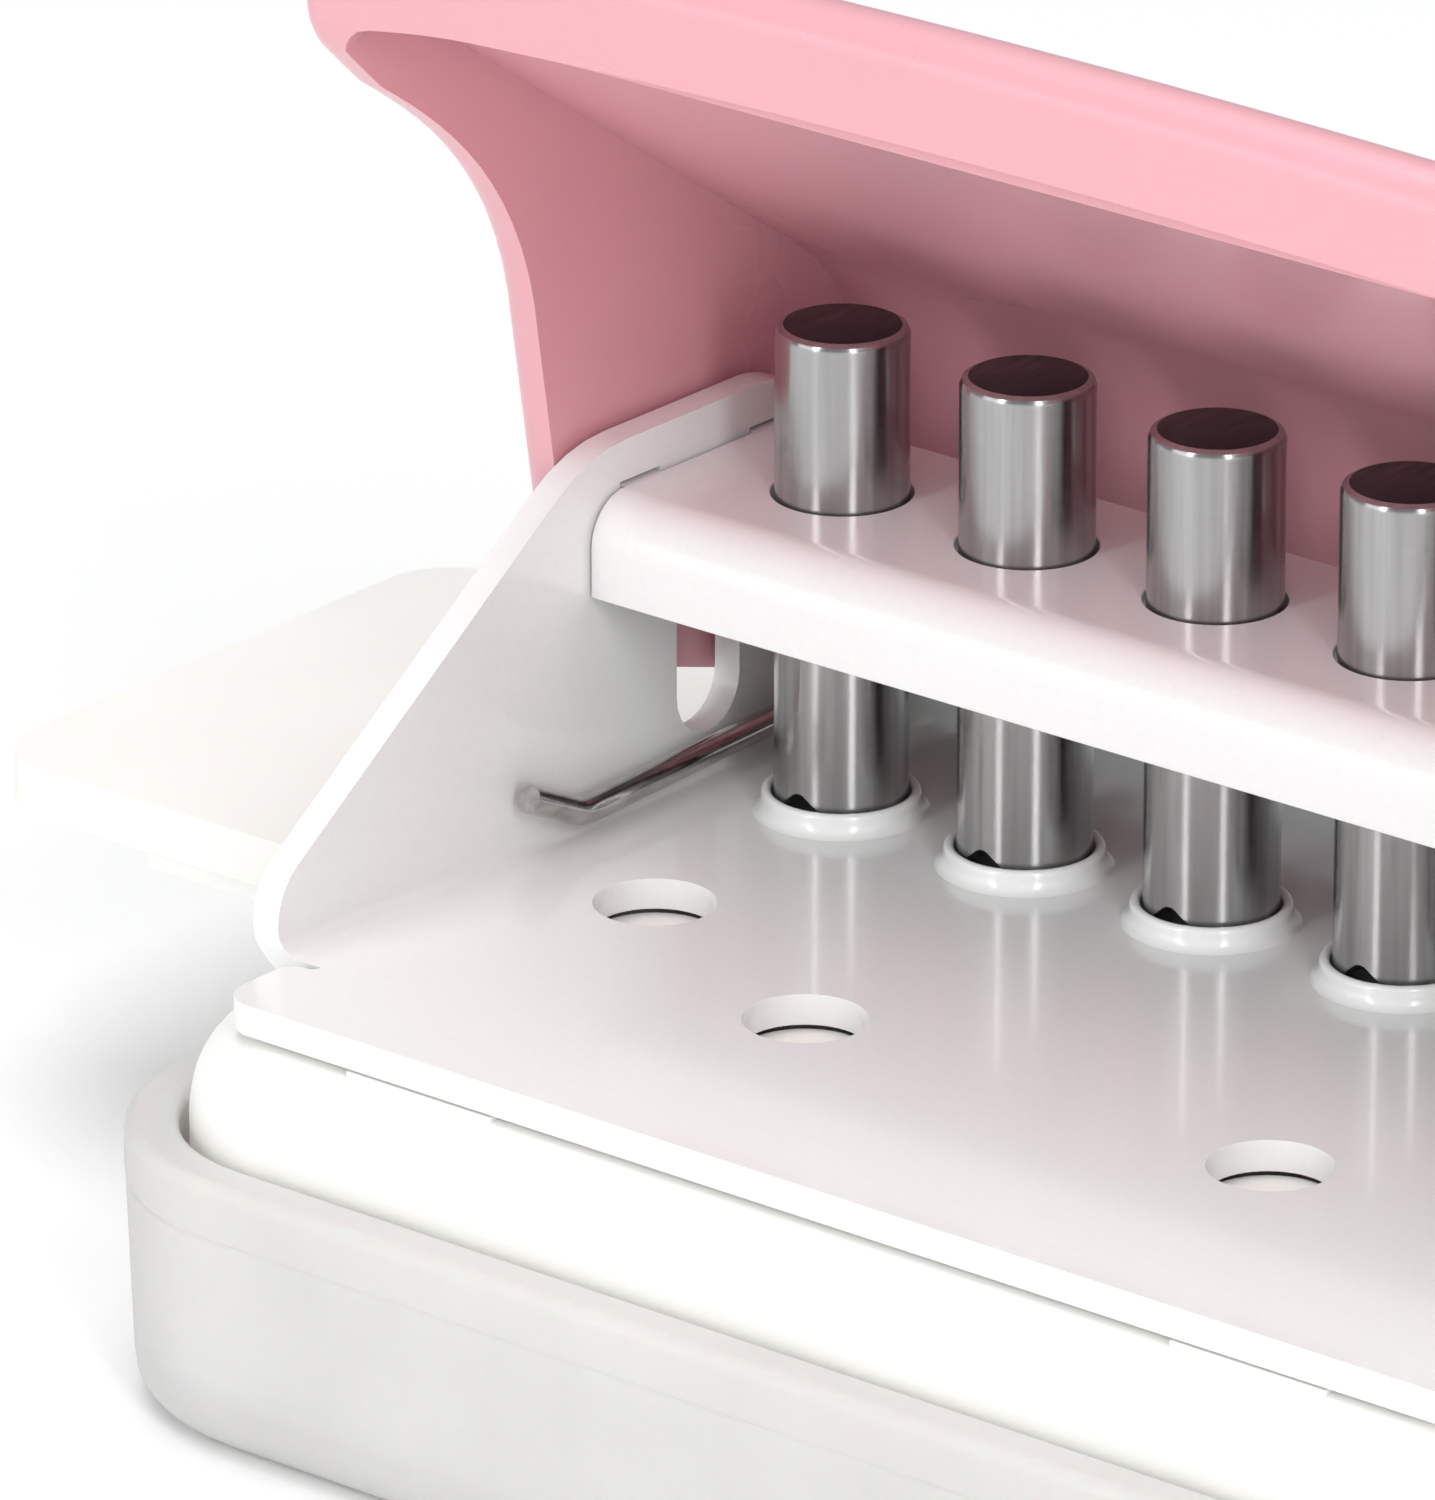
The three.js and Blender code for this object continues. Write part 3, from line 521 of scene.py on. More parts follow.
def pink_abs(rgb):
    """Glossy ABS from a polished mould: an even body colour, faint flow and a clear gloss."""
    material, shader = material_named("Pink ABS moulded glossy")
    set_inputs(shader, {"IOR": 1.54, "Coat Weight": 0.2, "Coat Roughness": 0.08})
    set_inputs(shader, {"Subsurface Weight": 0.08, "Subsurface Scale": 0.8 * MM})
    flow = object_noise(material, 9 * MM, 2, (0.5, 1, 1))
    # The skin of the moulding has a grain near 0.3 mm, drawn at twice that so that it shows.
    grain = object_noise(material, 0.6 * MM, 2)
    connect(
        material,
        shader,
        Base_Color=two_tones(material, flow, with_alpha(rgb, 0.985), with_alpha(rgb, 1.01)),
        Roughness=spread(material, flow, 0.27, 0.3),
        Normal=bump(material, grain, 0.002 * MM, 0.3),
    )
    return material


def powder_coat(rgb):
    """White polyester powder coat baked on steel: glossy, with a soft orange peel."""
    material, shader = material_named("White powder coat baked gloss")
    set_inputs(shader, {"IOR": 1.5, "Coat Weight": 0.45, "Coat Roughness": 0.06})
    peel = object_noise(material, 1.6 * MM, 1)
    specks = object_noise(material, 0.35 * MM, 2)
    connect(
        material,
        shader,
        Base_Color=two_tones(material, specks, with_alpha(rgb, 0.985), with_alpha(rgb, 1.01)),
        Roughness=spread(material, peel, 0.22, 0.25),
        Normal=bump(material, peel, 0.004 * MM, 0.3),
    )
    return material


def ground_steel(rgb):
    """Centreless-ground tool steel: fine rings round the pin draw highlights out along it."""
    material, shader = material_named("Tool steel centreless ground")
    set_inputs(shader, {"Metallic": 1.0, "Anisotropic": 0.7, "Anisotropic Rotation": 0.25})
    # Grinding marks are about 0.02 mm apart, drawn ten times coarser so that they show.
    rings = object_noise(material, 0.2 * MM, 3, (0.06, 0.06, 1))
    # Long faint marks along the pin come from its strokes through the collar and the bar.
    strokes = object_noise(material, 0.35 * MM, 3, (1, 1, 0.03))
    tangent = add_node(material, "Tangent", direction_type="RADIAL", axis="Z")
    connect(
        material,
        shader,
        Base_Color=two_tones(material, strokes, with_alpha(rgb, 0.88), with_alpha(rgb, 1.08)),
        Roughness=spread(material, rings, 0.2, 0.24),
        Normal=bump(material, strokes, 0.002 * MM, 0.2),
        Tangent=tangent.outputs["Tangent"],
    )
    return material


def painted_dark_face(rgb):
    """The pin's sawn upper face, painted dark: its near-black colour is a painted reflection of the
    handle's shaded hollow, with a dull metal sheen.
    """
    material, shader = material_named("Pin face painted dark reflection")
    set_inputs(shader, {"Metallic": 0.2, "Specular IOR Level": 0.3})
    marks = object_noise(material, 0.5 * MM, 4, (1, 0.15, 1))
    connect(
        material,
        shader,
        Base_Color=two_tones(material, marks, with_alpha(rgb, 0.7), with_alpha(rgb, 1.3)),
        Roughness=spread(material, marks, 0.3, 0.45),
        Normal=bump(material, marks, 0.01 * MM, 0.3),
    )
    return material


def spring_wire(rgb):
    """Cold-drawn spring wire: bright, with dark drawing marks."""
    material, shader = material_named("Spring steel drawn wire")
    set_inputs(shader, {"Metallic": 1.0})
    marks = object_noise(material, 0.5 * MM, 3, (1, 0.3, 1))
    connect(
        material,
        shader,
        Base_Color=two_tones(material, marks, with_alpha(rgb, 0.7), with_alpha(rgb, 1.15)),
        Roughness=spread(material, marks, 0.12, 0.2),
        Normal=bump(material, marks, 0.01 * MM, 0.25),
    )
    return material


def zinc_plate():
    """Zinc-plated mild steel: grey and slightly cloudy."""
    material, shader = material_named("Mild steel zinc plated")
    set_inputs(shader, {"Metallic": 1.0})
    cloud = object_noise(material, 2.5 * MM, 4)
    rgb = linear("#B4B6BA")
    connect(
        material,
        shader,
        Base_Color=two_tones(material, cloud, with_alpha(rgb, 0.85), with_alpha(rgb, 1.08)),
        Roughness=spread(material, cloud, 0.26, 0.42),
        Normal=bump(material, object_noise(material, 0.4 * MM), 0.01 * MM, 0.2),
    )
    return material


def white_abs(rgb):
    """Satin white ABS from a lightly textured mould: soft gloss and a little depth."""
    material, shader = material_named("White ABS moulded satin")
    set_inputs(shader, {"IOR": 1.54, "Subsurface Weight": 0.12, "Subsurface Scale": 1 * MM})
    grain = object_noise(material, 0.5 * MM, 2)
    cloud = object_noise(material, 12 * MM, 2)
    connect(
        material,
        shader,
        Base_Color=two_tones(material, cloud, with_alpha(rgb, 0.985), with_alpha(rgb, 1.01)),
        Roughness=spread(material, cloud, 0.34, 0.42),
        Normal=bump(material, grain, 0.01 * MM, 0.25),
    )
    return material


def frosted_pp(rgb):
    """Natural polypropylene from a blasted mould: cloudy, lets light through but no picture."""
    material, shader = material_named("Polypropylene moulded frosted")
    set_inputs(shader, {"IOR": 1.49, "Transmission Weight": 0.38})
    set_inputs(shader, {"Subsurface Weight": 0.3, "Subsurface Scale": 2 * MM})
    # Blasting leaves pits near 0.1 mm, drawn three times coarser so that they show.
    pits = object_noise(material, 0.3 * MM, 2)
    cloud = object_noise(material, 8 * MM, 3)
    connect(
        material,
        shader,
        Base_Color=two_tones(material, cloud, with_alpha(rgb, 0.96), with_alpha(rgb, 1.03)),
        Roughness=spread(material, pits, 0.4, 0.55),
        Normal=bump(material, pits, 0.02 * MM, 0.4),
    )
    return material


def pad_ink(rgb):
    """Pad-printed ink: thin and matt, with a slightly uneven edge to its colour."""
    material, shader = material_named("Pad printing ink")
    patches = object_noise(material, 0.25 * MM, 3)
    connect(
        material,
        shader,
        Base_Color=two_tones(material, patches, with_alpha(rgb), with_alpha(rgb, 1.35)),
        Roughness=spread(material, patches, 0.45, 0.6),
    )
    return material


MATERIALS = {}


def material_for(key, make, *values):
    """Makes each material once."""
    if key not in MATERIALS:
        MATERIALS[key] = make(*values)
    return MATERIALS[key]


def coat():
    return material_for("coat", powder_coat, bpy.context.scene.punch_frame.coat_colour)


def white_plastic():
    return material_for("white", white_abs, bpy.context.scene.punch_stand.base_colour)


def zinc():
    return material_for("zinc", zinc_plate)


# ---- Pieces ----

HOLE_FIT = 0.1 * MM
LOCATING_HOLES = [
    (EAR_IN - 7.9 * MM, -12.6 * MM),
    (EAR_IN - 20.2 * MM, -18.15 * MM),
]
STUDS = {
    name: middle(name) for name in sorted(FRAME["nodes"]) if name.startswith("stud_nut_")
}
STUD_R = 1.5 * MM
EAR_NOSE = -26.4 * MM
TONGUE_HALF = EAR_IN - 0.9 * MM
TENON_SPANS = [(-5.1 * MM, -2.9 * MM), (3.1 * MM, 5.1 * MM)]
BAR_SHEET = 1.2 * MM


def ear_outline():
    """The ears seen from the end, in (y, z)."""
    boss_r = high("u_frame").y - PIVOT.y
    front = [
        (EAR_NOSE + 0.8 * MM, PLATE - 4 * MM),
        (EAR_NOSE + 0.5 * MM, PLATE - 1.4 * MM, 0.4 * MM),
        (EAR_NOSE, PLATE + 0.4 * MM, 1.5 * MM),
        (EAR_NOSE, PLATE + 2.65 * MM, 2.8 * MM),
        (-7.2 * MM, EAR_TOP, 8 * MM),
        (7.4 * MM, EAR_TOP, 5 * MM),
        (9.4 * MM, PIVOT.z + 4.0 * MM, 1.0 * MM),
    ]
    crown = arc(PIVOT.y, PIVOT.z, boss_r, 95, 0)
    return rounded(front + crown + [(PIVOT.y + boss_r, PLATE - 4 * MM)])


def frame_section():
    """The bent sheet seen from the front, in (x, z)."""
    bend = bpy.context.scene.punch_frame.bend_radius
    top = EAR_TOP + 1 * MM
    under = PLATE - SHEET
    outer = bend + SHEET
    return rounded(
        [
            (-EAR_OUT, under, outer),
            (EAR_OUT, under, outer),
            (EAR_OUT, top),
            (EAR_IN, top),
            (EAR_IN, PLATE, bend),
            (-EAR_IN, PLATE, bend),
            (-EAR_IN, top),
            (-EAR_OUT, top),
        ]
    )


def collar_profile(hole_r):
    """A drawn collar with a fillet at its foot and a rounded rim, in (radius, height)."""
    settings = bpy.context.scene.punch_frame
    outer = hole_r + settings.collar_wall
    top = PLATE + settings.collar_height
    rim = settings.collar_wall / 2
    foot = arc(outer + 0.62 * MM, PLATE + 0.57 * MM, 0.62 * MM, 250, 180, 7)
    crown = arc(outer - rim, top - rim, rim, 0, 180, 8)
    return (
        [(outer + 0.35 * MM, PLATE - 0.2 * MM)]
        + foot
        + crown
        + [(hole_r, PLATE - SHEET + 0.3 * MM)]
        + [(outer - 0.1 * MM, PLATE - SHEET + 0.3 * MM)]
    )


def stud_profile(bottom):
    """A threaded weld stud, in (radius, height)."""
    pitch = 0.5 * MM
    root = STUD_R - 0.3 * MM
    points = [(0, PLATE - SHEET + 0.2 * MM), (STUD_R, PLATE - SHEET + 0.2 * MM)]
    height = PLATE - SHEET - 2 * MM
    while height > bottom + pitch:
        points += [(STUD_R, height), (root, height - pitch / 2)]
        height -= pitch
    return points + [(root, bottom), (0, bottom)]


def tenon_blocks(reach, clearance):
    top = BAR_HIGH.z + clearance
    bottom = BAR_HIGH.z - BAR_SHEET - clearance
    blocks = []
    for y0, y1 in TENON_SPANS:
        span = rectangle(y0 - clearance, y1 + clearance, bottom, top)
        blocks.append((span, "x", EAR_IN - 1 * MM, reach))
        blocks.append((span, "x", -reach, -EAR_IN + 1 * MM))
    return blocks


class PUNCH_OT_frame(Operator):
    """Builds the bent and coated frame with its collars, holes, slots and studs"""

    bl_idname = "punch.frame"
    bl_label = "Sheet Frame"

    def execute(self, context):
        settings = context.scene.punch_frame
        hole_r = PIN_R + HOLE_FIT
        sheet = prisms("coated_frame", (frame_section(), "y", -FAR, FAR))
        combine(sheet, prisms("ears", (ear_outline(), "x", -FAR, FAR)), "INTERSECT")
        neck = TONGUE_HALF - 1.2 * MM
        relief = EAR_NOSE - 0.3 * MM
        plan = rounded(
            [
                (-TONGUE_HALF, PLATE_FRONT, 1.6 * MM),
                (TONGUE_HALF, PLATE_FRONT, 1.6 * MM),
                (TONGUE_HALF, relief, 0.8 * MM),
                (neck, relief, 0.3 * MM),
                (neck, 0),
                (-neck, 0),
                (-neck, relief, 0.3 * MM),
                (-TONGUE_HALF, relief, 0.8 * MM),
            ]
        )
        combine(sheet, prisms("tongue", (plan, "z", PLATE - SHEET, PLATE)), "UNION")
        slot_r = settings.slot_width / 2
        slot_low = PLATE + 1.5 * MM + slot_r
        slot_high = ROD.z + ROD_R + 0.6 * MM - slot_r
        slot_y = 0.3 * MM
        slot = arc(slot_y, slot_high, slot_r, 0, 180) + arc(slot_y, slot_low, slot_r, 180, 360)
        round_holes = [(x, 0.0, hole_r) for x in PIN_XS]
        for x, y in LOCATING_HOLES:
            round_holes += [(side * x, y, settings.hole_diameter / 2) for side in (-1, 1)]
        through = (PLATE - 4 * MM, PLATE + 4 * MM)
        cutters = [(circle(x, y, r), "z", *through) for x, y, r in round_holes]
        axle_hole = circle(PIVOT.y, PIVOT.z, AXLE_R + 0.15 * MM)
        cutters += [(slot, "x", -FAR, FAR), (axle_hole, "x", -FAR, FAR)]
        cutters += tenon_blocks(EAR_OUT + 1 * MM, 0.15 * MM)
        combine(sheet, prisms("cutters", *cutters), "DIFFERENCE")
        round_edges(sheet, settings.edge_radius, 4)
        smooth(sheet)
        bottom = low("u_frame").z
        extras = [(collar_profile(hole_r), "z", x, 0.0) for x in PIN_XS]
        extras += [(stud_profile(bottom), "z", at.x, at.y) for at in STUDS.values()]
        details = smooth(turned("frame_details", *extras, steps=48))
        merge(sheet, details)
        place(sheet, "u_frame", "stand", "coated_steel", coat())
        return {"FINISHED"}


class PUNCH_OT_guide_bar(Operator):
    """Builds the channel that keeps the pins upright"""

    bl_idname = "punch.guide_bar"
    bl_label = "Guide Bar"

    def execute(self, context):
        top = BAR_HIGH.z
        front = BAR_LOW.y
        rear = BAR_HIGH.y
        bend = 2.1 * MM
        section = rounded(
            [
                (rear, top),
                (rear, top - BAR_SHEET),
                (front + BAR_SHEET, top - BAR_SHEET, bend - BAR_SHEET),
                (front + BAR_SHEET, BAR_LOW.z),
                (front, BAR_LOW.z),
                (front, top, bend),
            ]
        )
        half = EAR_IN - 0.15 * MM
        bar = prisms("guide_channel", (section, "x", -half, half))
        combine(bar, prisms("tenons", *tenon_blocks(BAR_HIGH.x, 0)), "UNION")
        hole_r = PIN_R + HOLE_FIT + 0.05 * MM
        holes = [(circle(x, 0, hole_r), "z", top - 4 * MM, top + 4 * MM) for x in PIN_XS]
        combine(bar, prisms("holes", *holes), "DIFFERENCE")
        round_edges(bar, 0.3 * MM, 3)
        smooth(bar)
        place(bar, "guide_bar", "stand", "coated_steel", coat())
        return {"FINISHED"}


class PUNCH_OT_pins(Operator):
    """Builds the punching pins with their V-shaped cutting ends, and the rod that lifts them"""

    bl_idname = "punch.pins"
    bl_label = "Pins and Lift Rod"

    def execute(self, context):
        settings = context.scene.punch_pins
        steel = material_for("ground", ground_steel, settings.steel_colour)
        # The upper faces get a painted dark reflection of the handle's hollow, not a colour of
        # their own.
        face = material_for("painted_face_shade", painted_dark_face, settings.face_shade_colour)
        for name, x in zip(PINS, PIN_XS):
            pin = self.pin(settings, x, name.replace("punch_pin", "ground_pin"))
            place(pin, name, "pin_row", "ground_steel", steel, face)
            for polygon in pin.data.polygons:
                if polygon.normal.z > 0.9 and polygon.center.z > PIN_TOP - 0.01 * MM:
                    polygon.material_index = 1
        rod_low = low("lift_rod")
        rod_high = high("lift_rod")
        ends = 0.3 * MM
        profile = [
            (0, rod_low.x),
            (ROD_R - ends, rod_low.x),
            (ROD_R, rod_low.x + ends),
            (ROD_R, rod_high.x - ends),
            (ROD_R - ends, rod_high.x),
            (0, rod_high.x),
        ]
        rod = smooth(turned("lift_rod_turned", (profile, "x", ROD.y, ROD.z), steps=32))
        place(rod, "lift_rod", "pin_row", "plated_steel", zinc())
        return {"FINISHED"}

    def pin(self, settings, x, name):
        profile = [
            (0, PIN_TIP),
            (PIN_R, PIN_TIP),
            (PIN_R, PIN_TOP - settings.chamfer),
            (PIN_R - 0.1 * MM, PIN_TOP - 0.12 * MM),
            (PIN_R - settings.chamfer, PIN_TOP),
            (0, PIN_TOP),
        ]
        pin = turned(name, (profile, "z", x, 0.0), steps=72)
        half = settings.notch_width / 2 + 0.7 * MM
        apex = PIN_TIP + settings.notch_depth
        notch = rounded(
            [
                (x - half, PIN_TIP - 0.6 * MM),
                (x, apex, 0.5 * MM),
                (x + half, PIN_TIP - 0.6 * MM),
            ]
        )
        cross = circle(ROD.y, ROD.z, ROD_R + 0.15 * MM, 32)
        tools = prisms("notch", (notch, "y", -2 * PIN_R, 2 * PIN_R))
        combine(pin, tools, "DIFFERENCE")
        combine(pin, prisms("cross", (cross, "x", x - 2 * PIN_R, x + 2 * PIN_R)), "DIFFERENCE")
        return smooth(pin, 30)


class PUNCH_OT_handle(Operator):
    """Builds the moulded handle: sloped top, rolled rear, two cheeks and the lip"""

    bl_idname = "punch.handle"
    bl_label = "Handle"

    def execute(self, context):
        settings = context.scene.punch_handle
        plastic = material_for("pink", pink_abs, settings.plastic_colour)
        half = HANDLE_HIGH.x
        inside = half - settings.cheek
        shell = lofted("handle_moulding", self.crowned(settings, half))
        round_edges(shell, settings.edge_radius, 6, 50)
        stations = [inside * math.sin(math.pi * i / 48) for i in range(-24, 25)]
        sections = [(x, self.inner(settings, self.arch(settings, x, inside))) for x in stations]
        hollow = lofted("hollow", sections)
        combine(shell, hollow, "DIFFERENCE")
        axle_hole = circle(PIVOT.y, PIVOT.z, AXLE_R + 0.15 * MM)
        tools = [(axle_hole, "x", -FAR, FAR)]
        combine(shell, prisms("axle_hole", *tools), "DIFFERENCE")
        pocket = self.pocket()
        reach = high("lift_rod").x + 0.3 * MM
        combine(shell, prisms("pocket", (pocket, "x", -reach, reach)), "DIFFERENCE")
        smooth(shell, 40)
        place(shell, "handle", "press_handle", "handle_plastic", plastic)
        return {"FINISHED"}

    def ceiling(self, settings, y):
        """Height of the ceiling's straight stretch at a place from front to rear."""
        rear_inner = PIVOT.y + 0.77 * MM
        at_row = PIN_TOP + 3.25 * MM + PIN_R * math.tan(settings.slope) - 0.5 * MM
        return at_row - y * math.tan(settings.slope), rear_inner

    def turn(self, settings):
        """Centre of the rolled rear corner."""
        at_row, rear_inner = self.ceiling(settings, 0)
        y = rear_inner - settings.rear_radius
        drop = settings.rear_radius / math.cos(settings.slope)
        return y, at_row - drop - y * math.tan(settings.slope)

    def crowned(self, settings, half):
        """The outer outlines, which rise towards the middle along the lip."""
        outline = self.outer(settings)
        ends = half - 3 * MM
        stations = [-half] + [ends * i / 10 for i in range(-10, 11)] + [half]
        front = HANDLE_LOW.y
        sections = []
        for x in stations:
            rise = settings.crown * (1 - (x / half) ** 2)
            section = []
            for y, z in outline:
                share = min(1.0, max(0.0, (5 * MM - y) / (5 * MM - front)))
                section.append((y, z + rise * share * share * (3 - 2 * share)))
            sections.append((x, section))
        return sections

    def arch(self, settings, x, inside):
        """How far the lip's lower edge rises above its ends, or dips in the corners."""
        wide = 7.5 * MM
        tight = 1.5 * MM
        out = abs(x)
        into_corner = max(0.0, (out - inside + wide) / wide)
        into_end = max(0.0, (out - inside + tight) / tight)
        rise = settings.crown * (1 - (out / inside) ** 2)
        return rise - 0.65 * MM * into_corner**2 - 1.0 * MM * into_end**2

    def outer(self, settings):
        turn_y, turn_z = self.turn(settings)
        outer_r = settings.rear_radius + settings.wall
        slope = math.degrees(settings.slope)
        front = HANDLE_LOW.y + 0.05 * MM
        lip_top = HANDLE_HIGH.z
        lip_low = lip_top - settings.lip_height
        boss_r = high("handle").y - PIVOT.y
        neck = bezier(
            (front + 2.9 * MM, lip_low - 3.8 * MM),
            (front + 7.0 * MM, lip_low - 6.5 * MM),
            (-9.0 * MM, lip_low - 9.9 * MM),
            (-8.2 * MM, lip_low - 16.8 * MM),
            14,
        )
        edge = 1.5 * MM
        # The round edge between the lip and the slope takes this much off the sharp corner.
        cut_off = edge * (math.tan(settings.slope) + 1 / math.cos(settings.slope) - 1)
        corners = [
            (front, lip_top - settings.crown + cut_off - 0.35 * MM, edge),
            (front + 0.15 * MM, lip_low - 1.2 * MM, 3.0 * MM),
        ]
        foot = [
            (-6.7 * MM, PLATE + 11.5 * MM, 3 * MM),
            (-5.0 * MM, PLATE + 5.4 * MM, 4.5 * MM),
        ]
        boss = arc(PIVOT.y, PIVOT.z, boss_r, -106.7, 0)
        roll = arc(turn_y, turn_z, outer_r, 0, 90 - slope, 14)
        return rounded(corners + neck + foot + boss + roll)

    def inner(self, settings, rise):
        """The hollow's outline where the lip's lower edge rises this far."""
        turn_y, turn_z = self.turn(settings)
        slope = math.degrees(settings.slope)
        lip_low = HANDLE_HIGH.z - settings.lip_height
        inside = HANDLE_LOW.y + 1.4 * MM
        at_lip, rear_inner = self.ceiling(settings, inside)
        wall_end = PIVOT.z + 4.6 * MM
        below = PLATE - 20 * MM
        roll = arc(turn_y, turn_z, settings.rear_radius, 0, 90 - slope, 14)
        return rounded(
            [
                (-2 * FAR, lip_low + rise),
                (-2 * FAR, below),
                (2 * FAR, below),
                (2 * FAR, wall_end),
                (rear_inner, wall_end, 0.5 * MM),
            ]
            + roll
            + [(inside, at_lip, 0.6 * MM), (inside, lip_low + rise, 0.3 * MM)]
        )

    def pocket(self):
        """The blind pocket that the lift rod's end moves in, in (y, z)."""
        radius = ROD_R + 0.3 * MM
        swing = math.radians(JOINTS["handle_press"]["range_deg"][1])
        stroke = JOINTS["pins_down"]["range_m"][1]
        y = -PIVOT.y
        z = ROD.z - stroke - PIVOT.z
        end = Vector(
            (
                PIVOT.y + y * math.cos(swing) + z * math.sin(swing),
                PIVOT.z - y * math.sin(swing) + z * math.cos(swing),
            )
        )
        start = Vector((ROD.y, ROD.z))
        along = math.degrees(math.atan2(end.y - start.y, end.x - start.x))
        far_end = arc(end.x, end.y, radius, along - 90, along + 90)
        near_end = arc(start.x, start.y, radius, along + 90, along + 270)
        return far_end + near_end


def wire_tree(material):
    """Geometry nodes that give a curve a round wire with closed ends."""
    tree = bpy.data.node_groups.new("Round wire", "GeometryNodeTree")
    tree.interface.new_socket("Geometry", in_out="INPUT", socket_type="NodeSocketGeometry")
    radius = tree.interface.new_socket("Radius", in_out="INPUT", socket_type="NodeSocketFloat")
    sides = tree.interface.new_socket("Sides", in_out="INPUT", socket_type="NodeSocketInt")
    tree.interface.new_socket("Geometry", in_out="OUTPUT", socket_type="NodeSocketGeometry")
    start = tree.nodes.new("NodeGroupInput")
    section = tree.nodes.new("GeometryNodeCurvePrimitiveCircle")
    sweep = tree.nodes.new("GeometryNodeCurveToMesh")
    real = tree.nodes.new("GeometryNodeRealizeInstances")
    paint = tree.nodes.new("GeometryNodeSetMaterial")
    end = tree.nodes.new("NodeGroupOutput")
    sweep.inputs["Fill Caps"].default_value = True
    paint.inputs["Material"].default_value = material
    links = tree.links
    links.new(start.outputs["Radius"], section.inputs["Radius"])
    links.new(start.outputs["Sides"], section.inputs["Resolution"])
    links.new(start.outputs["Geometry"], sweep.inputs["Curve"])
    links.new(section.outputs["Curve"], sweep.inputs["Profile Curve"])
    links.new(sweep.outputs["Mesh"], real.inputs["Geometry"])
    links.new(real.outputs["Geometry"], paint.inputs["Geometry"])
    links.new(paint.outputs["Geometry"], end.inputs["Geometry"])
    return tree, radius.identifier, sides.identifier


def wire_piece(name, points, diameter, material):
    """A wire along a smooth line through the points."""
    curve = bpy.data.curves.new(name, "CURVE")
    curve.dimensions = "3D"
    curve.resolution_u = 4
    spline = curve.splines.new("NURBS")
    spline.points.add(len(points) - 1)
    for point, co in zip(spline.points, points):
        point.co = (*co, 1)
    spline.order_u = 4
    spline.use_endpoint_u = True
    line = bpy.data.objects.new(name + "_line", curve)
    bpy.context.scene.collection.objects.link(line)
    tree, radius, sides = wire_tree(material)
    modifier = line.modifiers.new("Wire", "NODES")
    modifier.node_group = tree
    modifier[radius] = diameter / 2
    modifier[sides] = 20
    graph = bpy.context.evaluated_depsgraph_get()
    mesh = bpy.data.meshes.new_from_object(line.evaluated_get(graph))
    bpy.data.objects.remove(line)
    piece = bpy.data.objects.new(name, mesh)
    bpy.context.scene.collection.objects.link(piece)
    builder = bmesh.new()
    builder.from_mesh(mesh)
    bmesh.ops.remove_doubles(builder, verts=builder.verts, dist=1e-7)
    bmesh.ops.recalc_face_normals(builder, faces=builder.faces)
    builder.to_mesh(mesh)
    builder.free()
    return smooth(piece, 50)


class PUNCH_OT_springs(Operator):
    """Winds the two torsion springs round the axle"""

    bl_idname = "punch.springs"
    bl_label = "Return Springs"

    def execute(self, context):
        settings = context.scene.punch_springs
        steel = material_for("wire", spring_wire, settings.wire_colour)
        wire = settings.wire_diameter
        for side, where in ((-1, "left"), (1, "right")):
            leg_x = EAR_IN - 1.05 * MM
            arm_x = middle("spring_arm_" + where).x
            coil_r = AXLE_R + 0.22 * MM + wire / 2
            reach = 20.6 * MM
            drop = PIVOT.z - PLATE - 1 * MM
            lean = math.asin(drop / reach) - math.asin(coil_r / reach)
            first = lean - math.pi / 2
            last = 2 * math.pi * settings.turns - math.pi / 6 - 0.12
            step = (leg_x - abs(arm_x) - wire) / (last - first)
            points = self.leg(side * leg_x, coil_r, first, lean, reach)
            count = settings.turns * 16
            for i in range(count + 1):
                angle = first + (last - first) * i / count
                x = side * (leg_x - step * (angle - first))
                points.append(self.round_axle(x, coil_r, angle))
            coil = wire_piece("spring_coil_" + where, points, wire, steel)
            place(coil, "return_spring_" + where, "stand", "spring_steel", steel)
            arm = wire_piece("spring_finger_" + where, self.arm(arm_x, coil_r), wire, steel)
            place(arm, "spring_arm_" + where, "spring_arms", "spring_steel", steel)
        return {"FINISHED"}

    def round_axle(self, x, radius, angle):
        y = PIVOT.y + radius * math.cos(angle)
        return (x, y, PIVOT.z + radius * math.sin(angle))

    def leg(self, x, coil_r, first, lean, reach):
        """The straight leg on the frame's floor, with its upturned tip."""
        foot = Vector(self.round_axle(x, coil_r, first))
        along = Vector((0, -math.cos(lean), -math.sin(lean)))
        elbow = foot + along * reach
        tip = elbow + Vector((0, -3.3 * MM, 1.6 * MM))
        points = [tip, tip.lerp(elbow, 0.4), tip.lerp(elbow, 0.75), elbow]
        points += [elbow.lerp(foot, share) for share in (0.05, 0.12, 0.4, 0.7, 0.95)]
        return [tuple(point) for point in points]

    def arm(self, x, coil_r):
        """The last stretch of the coil and the arm that carries the lift rod."""
        drop = ROD.z - ROD_R - 0.575 * MM - 0.3 * MM - PIVOT.z
        span = math.hypot(PIVOT.y, drop)
        rise = math.asin(drop / span) - math.asin(coil_r / span)
        leave = math.pi / 2 - rise
        start = -math.pi / 6
        points = []
        for i in range(7):
            points.append(self.round_axle(x, coil_r, start + (leave - start) * i / 6))
        origin = Vector(points[-1])
        reach = (PIVOT.y + 2.4 * MM) / math.cos(rise)
        for share in (0.1, 0.4, 0.7, 1.0):
            step = Vector((0, -math.cos(rise), math.sin(rise))) * reach * share
            points.append(tuple(origin + step))
        return points


